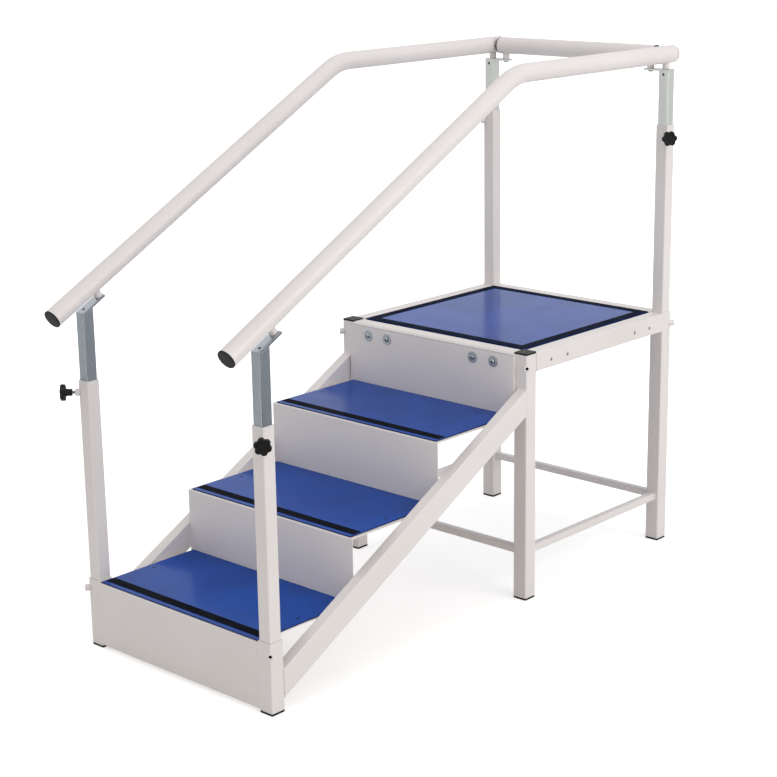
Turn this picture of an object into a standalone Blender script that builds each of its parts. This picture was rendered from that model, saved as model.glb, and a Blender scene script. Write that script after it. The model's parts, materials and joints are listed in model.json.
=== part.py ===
"""Therapy stairs with three treads, a platform and handrails that slide up and down.

The design frame has X = 0 at the face of the first riser, +X up the stairs, Y = 0 in the middle
and Z = 0 on the floor. Every part hangs on one empty, which moves the middle of the whole
object to X = 0. Sizes are in metres.
"""
import math

import bmesh
import bpy
from mathutils import Matrix, Vector

# Gap left between two pieces that touch, and how far a welded piece is sunk into its carrier
GAP = 0.0003
WELD = 0.0006

# Stairs
STEP_RUN = 0.300
FIRST_RISE = 0.170
STEP_RISE = 0.160
TREAD_COUNT = 3

# Welded frame of square tube
FRAME_WIDTH = 0.630
PLATFORM_DEPTH = 0.630
LEG = 0.040
LEG_WALL = 0.002
CORNER_RADIUS = 0.003
SOCKET_TOP = 0.172
BEAM_DEPTH = 0.050
BEAM_DROP = 0.001
STRETCHER = 0.020
STRETCHER_WALL = 0.0015
STRETCHER_HEIGHT = 0.1275
STRINGER_WIDTH = 0.030
STRINGER_DEPTH = 0.060
STRINGER_DROP = 0.0913

# Feet and leg caps of black plastic
FOOT_THICKNESS = 0.005
FOOT_PLUG = 0.020
CAP_THICKNESS = 0.0045
CAP_SINK = 0.0025

# Folded sheets of the steps and of the panel above the last tread
SHEET = 0.002
FOLD_INSIDE = 0.001
SHEET_SIDE_GAP = 0.0025
PANEL_BOTTOM = 0.0075
PANEL_HEM = 0.015
JOIN_FLANGE = 0.030
BACK_PANEL_DEPTH = 0.008
BACK_PANEL_SIDE = 0.004
BACK_PANEL_DROP = 0.003
BACK_PANEL_EDGE = 0.0008

# Blue boards and the black strips in their grooves
BOARD = 0.0026
BOARD_SETBACK = 0.0045
BOARD_SIDE = 0.002
STRIP_WIDTH = 0.0255
STRIP_SETBACK = 0.0135
STRIP_SIDE = 0.004
STRIP_THICKNESS = 0.0015
STRIP_GROOVE = 0.0010
PLATFORM_BOARD = 0.015
PLATFORM_BOARD_GAP = 0.0042
BORDER_EDGE = 0.0012
BOARD_EDGE = 0.0005
STRIP_EDGE = 0.0003

# Brackets that carry the treads, cleats that carry the platform board, and the screw holes
BRACKET_LENGTH = 0.088
BRACKET_SETBACK = 0.084
TAB_LENGTH = 0.058
TAB_SETBACK = 0.017
TAB_INSET = 0.020
BRACKET_LEG = 0.028
BRACKET_SHEET = 0.003
BRACKET_MARGIN = 0.010
BOARD_SCREW_INSET = 0.023
CLEAT_LENGTH = 0.160
CLEAT_LEG = 0.025
SCREW_HEAD_RADIUS = 0.0043
SCREW_HEAD = 0.0025
SCREW_RIM = 0.0004
SCREW_HOLE_RADIUS = 0.0024
SCREW_HOLE_DEPTH = 0.020

# Bolts of the platform module
BOLT_RADIUS = 0.004
BOLT_HOLE_PLAY = 0.0005
NUT_RADIUS = 0.0075
NUT = 0.0065
MODULE_HOLE_NEAR = 0.147
MODULE_HOLE_FAR = 0.2145
MODULE_HOLE_DROP = 0.030

# Socket bosses for set screws, on the corners of the legs
SOCKET_BOSS_RADIUS = 0.008
SOCKET_BOSS_LENGTH = 0.0106
SOCKET_HOLE_RADIUS = 0.0037
SLEEVE_BOSS_DROP = 0.025
PLATFORM_BOSS_DROP = 0.0332

# Telescopic posts
POST_PLAY = 0.0005
POST_WALL = 0.002
SLIDER_PLAY = 0.0005
SLIDER_WALL = 0.0015
REAR_POST_INSERTION = 0.300
SLIDER_INSERTION = 0.420
FRONT_EXPOSED = 0.1648
REAR_EXPOSED = 0.1395
VENT_RADIUS = 0.0034
VENT_DROP = 0.0085

# Clamp knobs
CLAMP_DROP = 0.030
CLAMP_BOSS_RADIUS = 0.009
CLAMP_BOSS_LENGTH = 0.0098
STUD_RADIUS = 0.0038
STUD_SHOWN = 0.0063
STUD_GRIP = 0.012
HUB_RADIUS = 0.0085
HUB_LENGTH = 0.0157
KNOB_RADIUS = 0.020
KNOB_THICKNESS = 0.0122
KNOB_LOBES = 6
KNOB_LOBE_POINTS = 7
KNOB_SCALLOP = 0.0030
KNOB_EDGE = 0.0020
# Degrees to the left that each knob stands turned, seen from outside
KNOB_TURNS = {"front_left": 0.0, "front_right": 12.0, "rear_left": 0.0, "rear_right": -25.0}

# Handrails
RAIL_RADIUS = 0.0230
RAIL_WALL = 0.002
RAIL_HEIGHT = 0.688
RAIL_INSET = 0.0024
RAIL_FRONT_OVERHANG = 0.074
RAIL_REAR_OVERHANG = 0.0045
RAIL_CORNER_SETBACK = 0.0201
RAIL_BEND_RADIUS = 0.160
RAIL_BEND_STEPS = 6
RAIL_STANDOFF = 0.0146
RAIL_CAP = 0.0035
RAIL_CAP_PLUG = 0.012
RAIL_CAP_EDGE = 0.0008
CROSS_RAIL_GAP = 0.0046
STUB_RADIUS = 0.0096
STUB_FRONT_X = 0.062
CROSS_STUB_INSET = 0.017
PLATE = 0.005
PLATE_SETBACK = 0.0009
PLATE_MARGIN = 0.0025
FRONT_PLATE_LENGTH = 0.075
PLATE_HOLE_RADIUS = 0.004
RAIL_BOLT_GRIP = 0.012

# Sizes that follow from the ones above
SLOPE = math.atan2(STEP_RISE, STEP_RUN)
PLATFORM_HEIGHT = FIRST_RISE + TREAD_COUNT * STEP_RISE
PLATFORM_X = TREAD_COUNT * STEP_RUN
PLATFORM_REAR_X = PLATFORM_X + PLATFORM_DEPTH
PLATFORM_MID_X = PLATFORM_X + PLATFORM_DEPTH / 2
SIDE_Y = FRAME_WIDTH / 2 - LEG / 2
INNER_Y = FRAME_WIDTH / 2 - LEG
FRONT_LEG_X = LEG / 2
PLATFORM_LEG_X = PLATFORM_X + LEG / 2
REAR_LEG_X = PLATFORM_REAR_X - LEG / 2
BEAM_TOP = PLATFORM_HEIGHT - BEAM_DROP
MODULE_HOLE_Z = PLATFORM_HEIGHT - MODULE_HOLE_DROP
MODULE_HOLES = (-MODULE_HOLE_FAR, -MODULE_HOLE_NEAR, MODULE_HOLE_NEAR, MODULE_HOLE_FAR)
BOARD_HALF = INNER_Y - BOARD_SIDE
BOARD_SCREW_Y = BOARD_HALF - BOARD_SCREW_INSET
STRINGER_Y = FRAME_WIDTH / 2 - STRINGER_WIDTH / 2
STRINGER_INNER_Y = FRAME_WIDTH / 2 - STRINGER_WIDTH
BACK_PANEL_X = PLATFORM_X - BACK_PANEL_DEPTH
POST = LEG - 2 * (LEG_WALL + POST_PLAY)
SLIDER = POST - 2 * (POST_WALL + SLIDER_PLAY)
RAIL_Z = PLATFORM_HEIGHT + RAIL_HEIGHT
RAIL_Y = SIDE_Y - RAIL_INSET
RAIL_CORNER_X = PLATFORM_X - RAIL_CORNER_SETBACK
RAIL_REAR_X = PLATFORM_REAR_X + RAIL_REAR_OVERHANG
CROSS_HALF = RAIL_Y - RAIL_RADIUS - CROSS_RAIL_GAP - RAIL_CAP
CROSS_STUB_Y = CROSS_HALF - CROSS_STUB_INSET
PLATE_UNDERSIDE = RAIL_RADIUS + RAIL_STANDOFF + PLATE
REAR_PLATE_Z = RAIL_Z - PLATE_UNDERSIDE

SIDES = (("left", 1), ("right", -1))
ROUND = 20
SMALL_ROUND = 12
RAIL_ROUND = 8
SEW_DISTANCE = 0.000002
SLIVER_SIDES = 4
SHARP_ANGLE = math.radians(32)
SCREW_HOLE = [(0, GAP), (SCREW_HEAD_RADIUS, GAP), (SCREW_HEAD_RADIUS, -SCREW_RIM),
              (SCREW_HOLE_RADIUS, -SCREW_HEAD), (SCREW_HOLE_RADIUS, -SCREW_HOLE_DEPTH),
              (0, -SCREW_HOLE_DEPTH)]


def rail_axis_z(x):
    """Height of the straight parts of the handrail's axis at x, with the bend left out."""
    return RAIL_Z - math.tan(SLOPE) * max(0.0, RAIL_CORNER_X - x)


FRONT_SLIDER_TOP = rail_axis_z(FRONT_LEG_X) - PLATE_UNDERSIDE / math.cos(SLOPE)
FRONT_POST_TOP = FRONT_SLIDER_TOP - FRONT_EXPOSED
REAR_POST_TOP = REAR_PLATE_Z - REAR_EXPOSED

# Colour, roughness and metallic value of each material, from the photograph
FINISHES = {
    "white": ((0.80, 0.79, 0.78), 0.40, 0.0),
    "blue": ((0.030, 0.085, 0.330), 0.50, 0.0),
    "black_strip": ((0.012, 0.013, 0.016), 0.90, 0.0),
    "black_plastic": ((0.011, 0.011, 0.012), 0.45, 0.0),
    "zinc": ((0.42, 0.45, 0.48), 0.38, 1.0),
    "steel": ((0.50, 0.50, 0.50), 0.30, 1.0),
}

# Clean scene and collections
for leftover in list(bpy.data.objects):
    bpy.data.objects.remove(leftover)

PARTS = bpy.data.collections.new("therapy_stairs")
bpy.context.scene.collection.children.link(PARTS)


# Helpers for meshes

def evaluated_mesh(obj):
    """Mesh of an object with its modifiers and curve settings carried out."""
    bpy.context.view_layer.update()
    depsgraph = bpy.context.evaluated_depsgraph_get()
    return bpy.data.meshes.new_from_object(obj.evaluated_get(depsgraph))


def helper_object(data, matrix=Matrix.Identity(4)):
    """Short-lived object for a modelling step."""
    obj = bpy.data.objects.new("helper", data)
    bpy.context.scene.collection.objects.link(obj)
    obj.matrix_world = matrix
    return obj


def sewn(mesh):
    """Weld the loose caps of a mesh and turn its faces outwards."""
    bm = bmesh.new()
    bm.from_mesh(mesh)
    bmesh.ops.remove_doubles(bm, verts=bm.verts, dist=SEW_DISTANCE)
    bmesh.ops.recalc_face_normals(bm, faces=bm.faces)
    bm.to_mesh(mesh)
    bm.free()
    return mesh


def closed(mesh):
    """Fill the slivers that a cut leaves open where an edge passes within a hair of its corner."""
    bm = bmesh.new()
    bm.from_mesh(mesh)
    gaps = [edge for edge in bm.edges if edge.is_boundary]
    if gaps:
        bmesh.ops.holes_fill(bm, edges=gaps, sides=SLIVER_SIDES)
        bmesh.ops.recalc_face_normals(bm, faces=bm.faces)
        bm.to_mesh(mesh)
    bm.free()
    return mesh


def carve(mesh, joins=(), cuts=()):
    """The mesh with the joins added and then the cuts taken out, each a (mesh, matrix) pair."""
    body = helper_object(mesh)
    tools = []
    for operation, pairs in (("UNION", joins), ("DIFFERENCE", cuts)):
        for tool_mesh, matrix in pairs:
            tool = helper_object(tool_mesh, matrix)
            modifier = body.modifiers.new("carve", "BOOLEAN")
            modifier.operation = operation
            modifier.solver = "EXACT"
            modifier.object = tool
            tools.append(tool)
    result = evaluated_mesh(body)
    for used in tools + [body]:
        bpy.data.objects.remove(used)
    return closed(result)


def moved(mesh, matrix):
    """A copy of the mesh, moved by the matrix."""
    copy = mesh.copy()
    copy.transform(matrix)
    return copy


def aimed(origin, direction, up=(0, 0, 1)):
    """Matrix that puts local Z along the direction and local Y near the up vector."""
    z_axis = Vector(direction).normalized()
    x_axis = Vector(up).cross(z_axis).normalized()
    y_axis = z_axis.cross(x_axis)
    matrix = Matrix((x_axis, y_axis, z_axis)).transposed().to_4x4()
    matrix.translation = Vector(origin)
    return matrix


def at(x, y, z):
    """Matrix of a plain move."""
    return Matrix.Translation((x, y, z))


# Helpers for shapes, each along local Z from Z = 0 unless it says otherwise

def rounded_loop(width, depth, radius, segments=2):
    """Points of a rectangle with round corners."""
    points = []
    for quarter, (sx, sy) in enumerate(((1, 1), (-1, 1), (-1, -1), (1, -1))):
        for step in range(segments + 1):
            angle = math.pi / 2 * (quarter + step / segments)
            points.append((sx * (width / 2 - radius) + radius * math.cos(angle),
                           sy * (depth / 2 - radius) + radius * math.sin(angle)))
    return points


def rectangle(width, depth):
    """Points of a rectangle with sharp corners."""
    return [(width / 2, depth / 2), (-width / 2, depth / 2),
            (-width / 2, -depth / 2), (width / 2, -depth / 2)]


def extruded(loop, length):
    """A flat outline given a length."""
    curve = bpy.data.curves.new("outline", "CURVE")
    curve.dimensions = "2D"
    curve.fill_mode = "BOTH"
    curve.extrude = length / 2
    spline = curve.splines.new("POLY")
    spline.points.add(len(loop) - 1)
    for point, (x, y) in zip(spline.points, loop):
        point.co = (x, y, 0.0, 1.0)
    spline.use_cyclic_u = True
    obj = helper_object(curve)
    mesh = sewn(evaluated_mesh(obj))
    bpy.data.objects.remove(obj)
    mesh.transform(at(0, 0, length / 2))
    return mesh


def hollow(outer, inner, length):
    """Two outlines of as many points, bridged to a ring and given a length."""
    bm = bmesh.new()
    edges = []
    for loop in (outer, inner):
        corners = [bm.verts.new((x, y, 0)) for x, y in loop]
        following = corners[1:] + corners[:1]
        edges.extend(bm.edges.new(pair) for pair in zip(corners, following))
    ring = bmesh.ops.bridge_loops(bm, edges=edges)["faces"]
    grown = bmesh.ops.extrude_face_region(bm, geom=ring)["geom"]
    raised = [item for item in grown if isinstance(item, bmesh.types.BMVert)]
    bmesh.ops.translate(bm, verts=raised, vec=(0, 0, length))
    mesh = bpy.data.meshes.new("hollow")
    bm.to_mesh(mesh)
    bm.free()
    return sewn(mesh)


def square_bar(width, depth, length, radius=CORNER_RADIUS):
    """A solid bar with round corners."""
    return extruded(rounded_loop(width, depth, radius), length)


def square_tube(width, depth, wall, length, radius=CORNER_RADIUS):
    """A square tube with open ends."""
    inner = rounded_loop(width - 2 * wall, depth - 2 * wall, max(radius - wall, radius / 4))
    return hollow(rounded_loop(width, depth, radius), inner, length)


def rod(radius, length, sides=SMALL_ROUND):
    """A solid round bar, or a prism where it has few sides."""
    bm = bmesh.new()
    bmesh.ops.create_cone(bm, cap_ends=True, segments=sides,
                          radius1=radius, radius2=radius, depth=length)
    bmesh.ops.translate(bm, verts=bm.verts, vec=(0, 0, length / 2))
    mesh = bpy.data.meshes.new("rod")
    bm.to_mesh(mesh)
    bm.free()
    return mesh


def sheared(angle):
    """Matrix that lifts each point in proportion to its X, as on a slope."""
    matrix = Matrix.Identity(4)
    matrix[2][0] = math.tan(angle)
    return matrix


def block(low, high, edge=0.0):
    """A box between two corners, with its edges rounded where an edge radius is given."""
    bm = bmesh.new()
    bmesh.ops.create_cube(bm, size=1.0)
    size = Vector(high) - Vector(low)
    bmesh.ops.scale(bm, verts=bm.verts, vec=size)
    bmesh.ops.translate(bm, verts=bm.verts, vec=Vector(low) + size / 2)
    if edge:
        bmesh.ops.bevel(bm, geom=bm.edges[:], offset=edge, segments=2, profile=0.5,
                        affect="EDGES")
    mesh = bpy.data.meshes.new("block")
    bm.to_mesh(mesh)
    bm.free()
    return mesh


def turned(profile, steps=SMALL_ROUND):
    """A turned solid from (radius, height) points that run down its outer side."""
    mesh = bpy.data.meshes.new("profile")
    points = [(radius, 0.0, height) for radius, height in profile]
    mesh.from_pydata(points, [(i, i + 1) for i in range(len(points) - 1)], [])
    obj = helper_object(mesh)
    screw = obj.modifiers.new("turn", "SCREW")
    screw.steps = steps
    screw.render_steps = steps
    screw.use_merge_vertices = True
    screw.merge_threshold = SEW_DISTANCE
    result = evaluated_mesh(obj)
    bpy.data.objects.remove(obj)
    return sewn(result)


def folded_sheet(path, width, thickness):
    """A sheet whose outer face follows (x, z) points, with round folds, centred on Y."""
    bend = thickness + FOLD_INSIDE
    bm = bmesh.new()
    bottom = [bm.verts.new((x, -width / 2, z)) for x, z in path]
    edges = [bm.edges.new(pair) for pair in zip(bottom, bottom[1:])]
    grown = bmesh.ops.extrude_edge_only(bm, edges=edges)["geom"]
    new_points = [item for item in grown if isinstance(item, bmesh.types.BMVert)]
    bmesh.ops.translate(bm, verts=new_points, vec=(0, width, 0))
    folds = [edge for edge in bm.edges if len(edge.link_faces) == 2]
    if folds:
        bmesh.ops.bevel(bm, geom=folds, offset=bend, segments=3, profile=0.5, affect="EDGES")
    upper = max(bm.faces, key=lambda face: face.calc_center_median().z + face.calc_area())
    bmesh.ops.recalc_face_normals(bm, faces=bm.faces)
    bm.normal_update()
    if upper.normal.z < 0:
        bmesh.ops.reverse_faces(bm, faces=bm.faces)
    mesh = bpy.data.meshes.new("sheet")
    bm.to_mesh(mesh)
    bm.free()
    obj = helper_object(mesh)
    solidify = obj.modifiers.new("thickness", "SOLIDIFY")
    solidify.thickness = thickness
    solidify.offset = -1.0
    solidify.use_even_offset = True
    result = sewn(evaluated_mesh(obj))
    bpy.data.objects.remove(obj)
    return result


def round_tube(points, radius, resolution):
    """A solid round bar along a path, as a mesh."""
    curve = bpy.data.curves.new("path", "CURVE")
    curve.dimensions = "3D"
    curve.bevel_depth = radius
    curve.bevel_resolution = resolution
    curve.use_fill_caps = True
    spline = curve.splines.new("POLY")
    spline.points.add(len(points) - 1)
    for point, place in zip(spline.points, points):
        point.co = (*place, 1.0)
    obj = helper_object(curve)
    mesh = sewn(evaluated_mesh(obj))
    bpy.data.objects.remove(obj)
    return mesh


# Helpers for objects

def material(name, finish):
    """A Principled material for one part."""
    colour, roughness, metallic = FINISHES[finish]
    result = bpy.data.materials.new(name)
    result.use_nodes = True
    shader = result.node_tree.nodes["Principled BSDF"]
    shader.inputs["Base Color"].default_value = (*colour, 1.0)
    shader.inputs["Roughness"].default_value = roughness
    shader.inputs["Metallic"].default_value = metallic
    return result


def carrier(name, location=(0, 0, 0), parent=None):
    """An empty that carries parts."""
    empty = bpy.data.objects.new(name, None)
    PARTS.objects.link(empty)
    empty.parent = parent
    empty.location = location
    return empty


def part(name, mesh, finish, matrix=Matrix.Identity(4), parent=None):
    """One named sub-part, placed in the design frame by its location and rotation."""
    mesh.name = name
    mesh.materials.clear()
    mesh.materials.append(material(name, finish))
    mesh.shade_smooth()
    mesh.set_sharp_from_angle(angle=SHARP_ANGLE)
    obj = bpy.data.objects.new(name, mesh)
    PARTS.objects.link(obj)
    obj.parent = parent or FRAME
    if parent is None or parent is FRAME:
        obj.matrix_local = matrix
    else:
        obj.matrix_local = Matrix.Translation(parent.location).inverted() @ matrix
    return obj


def corner_reach(size):
    """Distance from the axis of a square tube to its rounded corner."""
    return size / math.sqrt(2) - CORNER_RADIUS * (math.sqrt(2) - 1)


def corner_axis(forward, side):
    """Unit vector across a tube's corner, to the front or rear and to one side."""
    return Vector((forward, side, 0)).normalized()


FRAME = carrier("stairs_frame")


# Legs, feet and their screws

def leg_mesh(bottom, top, boss_z, direction):
    """A leg of square tube with a threaded boss welded over one corner."""
    boss_end = corner_reach(LEG) + SOCKET_BOSS_LENGTH
    boss = rod(SOCKET_BOSS_RADIUS, boss_end, ROUND)
    hole = rod(SOCKET_HOLE_RADIUS, boss_end + LEG)
    bore = square_bar(LEG - 2 * LEG_WALL, LEG - 2 * LEG_WALL, top - bottom + LEG, CORNER_RADIUS / 3)
    across = aimed((0, 0, boss_z), direction)
    return carve(moved(square_bar(LEG, LEG, top - bottom), at(0, 0, bottom)),
                 joins=[(boss, across)],
                 cuts=[(bore, at(0, 0, bottom - LEG / 2)), (hole, across)])


LEG_PLACES = []
LEG_BOTTOM = FOOT_THICKNESS + GAP
CAP_SEAT = PLATFORM_HEIGHT - CAP_SINK
for side_name, side in SIDES:
    LEG_PLACES.append(("front_leg_" + side_name, FRONT_LEG_X, side, -1,
                       SOCKET_TOP, SOCKET_TOP - SLEEVE_BOSS_DROP))
    LEG_PLACES.append(("platform_front_leg_" + side_name, PLATFORM_LEG_X, side, -1,
                       CAP_SEAT - GAP, PLATFORM_HEIGHT - PLATFORM_BOSS_DROP))
    LEG_PLACES.append(("platform_rear_leg_" + side_name, REAR_LEG_X, side, 1,
                       PLATFORM_HEIGHT, PLATFORM_HEIGHT - PLATFORM_BOSS_DROP))


def add_legs():
    """Six legs with their feet, and the caps of the two legs that hold no post."""
    plug_width = LEG - 2 * (LEG_WALL + GAP)
    foot = carve(square_bar(LEG, LEG, FOOT_THICKNESS),
                 joins=[(square_bar(plug_width, plug_width, FOOT_THICKNESS + FOOT_PLUG), at(0, 0, 0))])
    cap = carve(moved(square_bar(LEG, LEG, CAP_THICKNESS), at(0, 0, FOOT_PLUG)),
                joins=[(square_bar(plug_width, plug_width, FOOT_PLUG + CAP_THICKNESS), at(0, 0, 0))])
    for name, x, side, forward, top, boss_z in LEG_PLACES:
        mesh = leg_mesh(LEG_BOTTOM, top, boss_z, corner_axis(forward, side))
        part(name, mesh, "white", at(x, side * SIDE_Y, 0))
        part(name.replace("leg", "foot"), foot.copy(), "black_plastic", at(x, side * SIDE_Y, 0))
    for side_name, side in SIDES:
        place = at(PLATFORM_LEG_X, side * SIDE_Y, CAP_SEAT - FOOT_PLUG)
        part("leg_cap_" + side_name, cap.copy(), "black_plastic", place)


# Platform frame

def beam_mesh(length):
    """A beam along local Z, upright along Y, with its module holes in the +X wall.

    A nut is welded inside behind each hole, and the cleat below the board is on the -X wall.
    """
    tube = moved(square_tube(LEG, BEAM_DEPTH, LEG_WALL, length), at(0, 0, -length / 2))
    hole = rod(BOLT_RADIUS + BOLT_HOLE_PLAY, LEG)
    nut = rod(NUT_RADIUS, NUT + WELD, 6)
    middle = BEAM_TOP - BEAM_DEPTH / 2
    nuts = [(nut, aimed((LEG / 2 - LEG_WALL - NUT, MODULE_HOLE_Z - middle, place), (1, 0, 0)))
            for place in MODULE_HOLES]
    holes = [(hole, aimed((0, MODULE_HOLE_Z - middle, place), (1, 0, 0))) for place in MODULE_HOLES]
    cleat = folded_sheet([(0, -CLEAT_LEG), (0, 0), (CLEAT_LEG, 0)], CLEAT_LENGTH, BRACKET_SHEET)
    seat = PLATFORM_HEIGHT - PLATFORM_BOARD - GAP - middle
    turn = Matrix(((-1, 0, 0), (0, 0, 1), (0, 1, 0))).to_4x4()
    return carve(tube, joins=nuts + [(cleat, at(WELD - LEG / 2, seat, 0) @ turn)], cuts=holes)


def add_platform_frame():
    """Beams and stretchers between the four platform legs."""
    clear = PLATFORM_DEPTH - 2 * (LEG + GAP)
    across = FRAME_WIDTH - 2 * (LEG + GAP)
    beam_z = BEAM_TOP - BEAM_DEPTH / 2
    for side_name, side in SIDES:
        place = aimed((PLATFORM_MID_X, side * SIDE_Y, beam_z), (side, 0, 0))
        part("side_beam_" + side_name, beam_mesh(clear), "white", place)
        bar = moved(square_tube(STRETCHER, STRETCHER, STRETCHER_WALL, clear), at(0, 0, -clear / 2))
        place = aimed((PLATFORM_MID_X, side * SIDE_Y, STRETCHER_HEIGHT), (1, 0, 0))
        part("stretcher_" + side_name, bar, "white", place)
    for name, x, forward in (("front", PLATFORM_LEG_X, -1), ("rear", REAR_LEG_X, 1)):
        place = aimed((x, 0, beam_z), (0, -forward, 0))
        part("cross_beam_" + name, beam_mesh(across), "white", place)
        bar = moved(square_tube(STRETCHER, STRETCHER, STRETCHER_WALL, across), at(0, 0, -across / 2))
        part("stretcher_" + name, bar, "white", aimed((x, 0, STRETCHER_HEIGHT), (0, 1, 0)))


def add_platform_board():
    """The platform board, which lies on the cleats of the beams, and the black border in its groove."""
    length = PLATFORM_DEPTH - 2 * (LEG + PLATFORM_BOARD_GAP)
    width = FRAME_WIDTH - 2 * (LEG + PLATFORM_BOARD_GAP)
    outer = (length - 2 * BORDER_EDGE, width - 2 * BORDER_EDGE)
    inner = (outer[0] - 2 * STRIP_WIDTH, outer[1] - 2 * STRIP_WIDTH)
    border = hollow(rectangle(*outer), rectangle(*inner), STRIP_THICKNESS)
    groove = hollow(rectangle(outer[0] + 2 * GAP, outer[1] + 2 * GAP),
                    rectangle(inner[0] - 2 * GAP, inner[1] - 2 * GAP), STRIP_THICKNESS)
    board = block((-length / 2, -width / 2, -PLATFORM_BOARD), (length / 2, width / 2, 0), BOARD_EDGE)
    board = carve(board, cuts=[(groove, at(0, 0, -STRIP_GROOVE))])
    part("platform_board", board, "blue", at(PLATFORM_MID_X, 0, PLATFORM_HEIGHT))
    seat = PLATFORM_HEIGHT - STRIP_GROOVE + GAP
    part("platform_border", border, "black_strip", at(PLATFORM_MID_X, 0, seat))


# Stairs

def tread_top(step):
    """Height of a tread, counted from 1."""
    return FIRST_RISE + (step - 1) * STEP_RISE


def tread_rear(step):
    """Where the board of a tread ends: at the next riser, or at the panel below the platform."""
    return step * STEP_RUN if step < TREAD_COUNT else BACK_PANEL_X


def sheet_seat(step):
    """Height of the upper face of a step sheet, just below its board."""
    return tread_top(step) - BOARD - GAP


def screw_spots(step):
    """Where the two screws of a tread go in, at the upper face of its board."""
    x = (step - 1) * STEP_RUN + STEP_RUN / 2
    return [Vector((x, side * BOARD_SCREW_Y, tread_top(step))) for _, side in SIDES]


def add_stringers():
    """Two sloping tubes, cut upright at both ends, with the brackets that carry the treads."""
    length = PLATFORM_X - LEG - 2 * GAP
    height = STRINGER_DEPTH / math.cos(SLOPE)
    tube = square_tube(height, STRINGER_WIDTH, LEG_WALL, length)
    tube.transform(Matrix.Rotation(math.pi / 2, 4, "Y"))
    tube.transform(sheared(SLOPE))
    start = LEG + GAP
    middle = FIRST_RISE + math.tan(SLOPE) * start - STRINGER_DROP - height / 2
    reach = STRINGER_INNER_Y - BOARD_SCREW_Y + BRACKET_MARGIN
    # A bracket sits where the tube hides it from outside, and its tab reaches forward to the screw
    bracket = folded_sheet([(0, -BRACKET_LEG), (0, 0), (reach, 0)], BRACKET_LENGTH, BRACKET_SHEET)
    tab = block((TAB_INSET, -TAB_LENGTH / 2, GAP - BRACKET_SHEET),
                (reach - BRACKET_SHEET, TAB_LENGTH / 2, -GAP))
    drill = turned(SCREW_HOLE)
    for index, (side_name, side) in enumerate(SIDES):
        origin = Vector((start, side * STRINGER_Y, middle))
        turn = Matrix.Rotation(-side * math.pi / 2, 4, "Z")
        brackets = []
        drills = []
        for step in range(1, TREAD_COUNT + 1):
            spot = screw_spots(step)[index]
            corner = Vector((spot.x, side * (STRINGER_INNER_Y + WELD), sheet_seat(step) - SHEET - GAP))
            for shape, setback in ((bracket, BRACKET_SETBACK), (tab, TAB_SETBACK)):
                place = corner + Vector((setback, 0, 0)) - origin
                brackets.append((shape, Matrix.Translation(place) @ turn))
            drills.append((drill, Matrix.Translation(spot - origin)))
        mesh = carve(tube.copy(), joins=brackets, cuts=drills)
        part("stringer_" + side_name, mesh, "white", Matrix.Translation(origin))


def add_steps():
    """Folded step sheets and the blue boards on them, each with a black strip in its groove."""
    drill = turned(SCREW_HOLE)
    for step in range(1, TREAD_COUNT + 1):
        front = (step - 1) * STEP_RUN
        top = tread_top(step)
        rear = tread_rear(step) - GAP
        seat = sheet_seat(step)
        drills = [(drill, Matrix.Translation(spot)) for spot in screw_spots(step)]
        path = [(front, seat), (rear, seat), (rear, seat - JOIN_FLANGE)]
        if step == 1:
            width = FRAME_WIDTH - 2 * (LEG + GAP)
            path = [(front + PANEL_HEM, PANEL_BOTTOM), (front, PANEL_BOTTOM)] + path
        else:
            width = 2 * (STRINGER_INNER_Y - SHEET_SIDE_GAP)
            path = [(front, tread_top(step - 1) - JOIN_FLANGE)] + path
        sheet = folded_sheet(path, width, SHEET)
        part(f"step_sheet_{step}", carve(sheet, cuts=drills), "white")
        board_front = front + BOARD_SETBACK
        strip_front = board_front + STRIP_SETBACK
        strip_half = BOARD_HALF - STRIP_SIDE
        groove = block((strip_front - GAP, -strip_half - GAP, top - STRIP_GROOVE),
                       (strip_front + STRIP_WIDTH + GAP, strip_half + GAP, top + STRIP_GROOVE))
        board = block((board_front, -BOARD_HALF, top - BOARD), (rear, BOARD_HALF, top), BOARD_EDGE)
        part(f"tread_board_{step}", carve(board, cuts=[(groove, at(0, 0, 0))] + drills), "blue")
        strip_seat = top - STRIP_GROOVE + GAP
        strip = block((strip_front, -strip_half, strip_seat),
                      (strip_front + STRIP_WIDTH, strip_half, strip_seat + STRIP_THICKNESS), STRIP_EDGE)
        part(f"tread_strip_{step}", strip, "black_strip")


def add_back_panel():
    """The folded panel above the last tread, which is bolted to the front beam of the platform."""
    half = STRINGER_INNER_Y - BACK_PANEL_SIDE
    low = tread_top(TREAD_COUNT) - JOIN_FLANGE
    high = PLATFORM_HEIGHT - BACK_PANEL_DROP
    rear = PLATFORM_X - GAP
    shell = block((BACK_PANEL_X, -half, low), (rear, half, high), BACK_PANEL_EDGE)
    inside = block((BACK_PANEL_X + SHEET, -half + SHEET, low + SHEET),
                   (rear + SHEET, half - SHEET, high - SHEET))
    hole = rod(BOLT_RADIUS + BOLT_HOLE_PLAY, BACK_PANEL_DEPTH)
    drills = [(hole, aimed((BACK_PANEL_X - SHEET, y, MODULE_HOLE_Z), (1, 0, 0))) for y in MODULE_HOLES]
    part("back_panel", carve(shell, cuts=[(inside, at(0, 0, 0))] + drills), "white")


# Posts and clamp knobs

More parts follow.
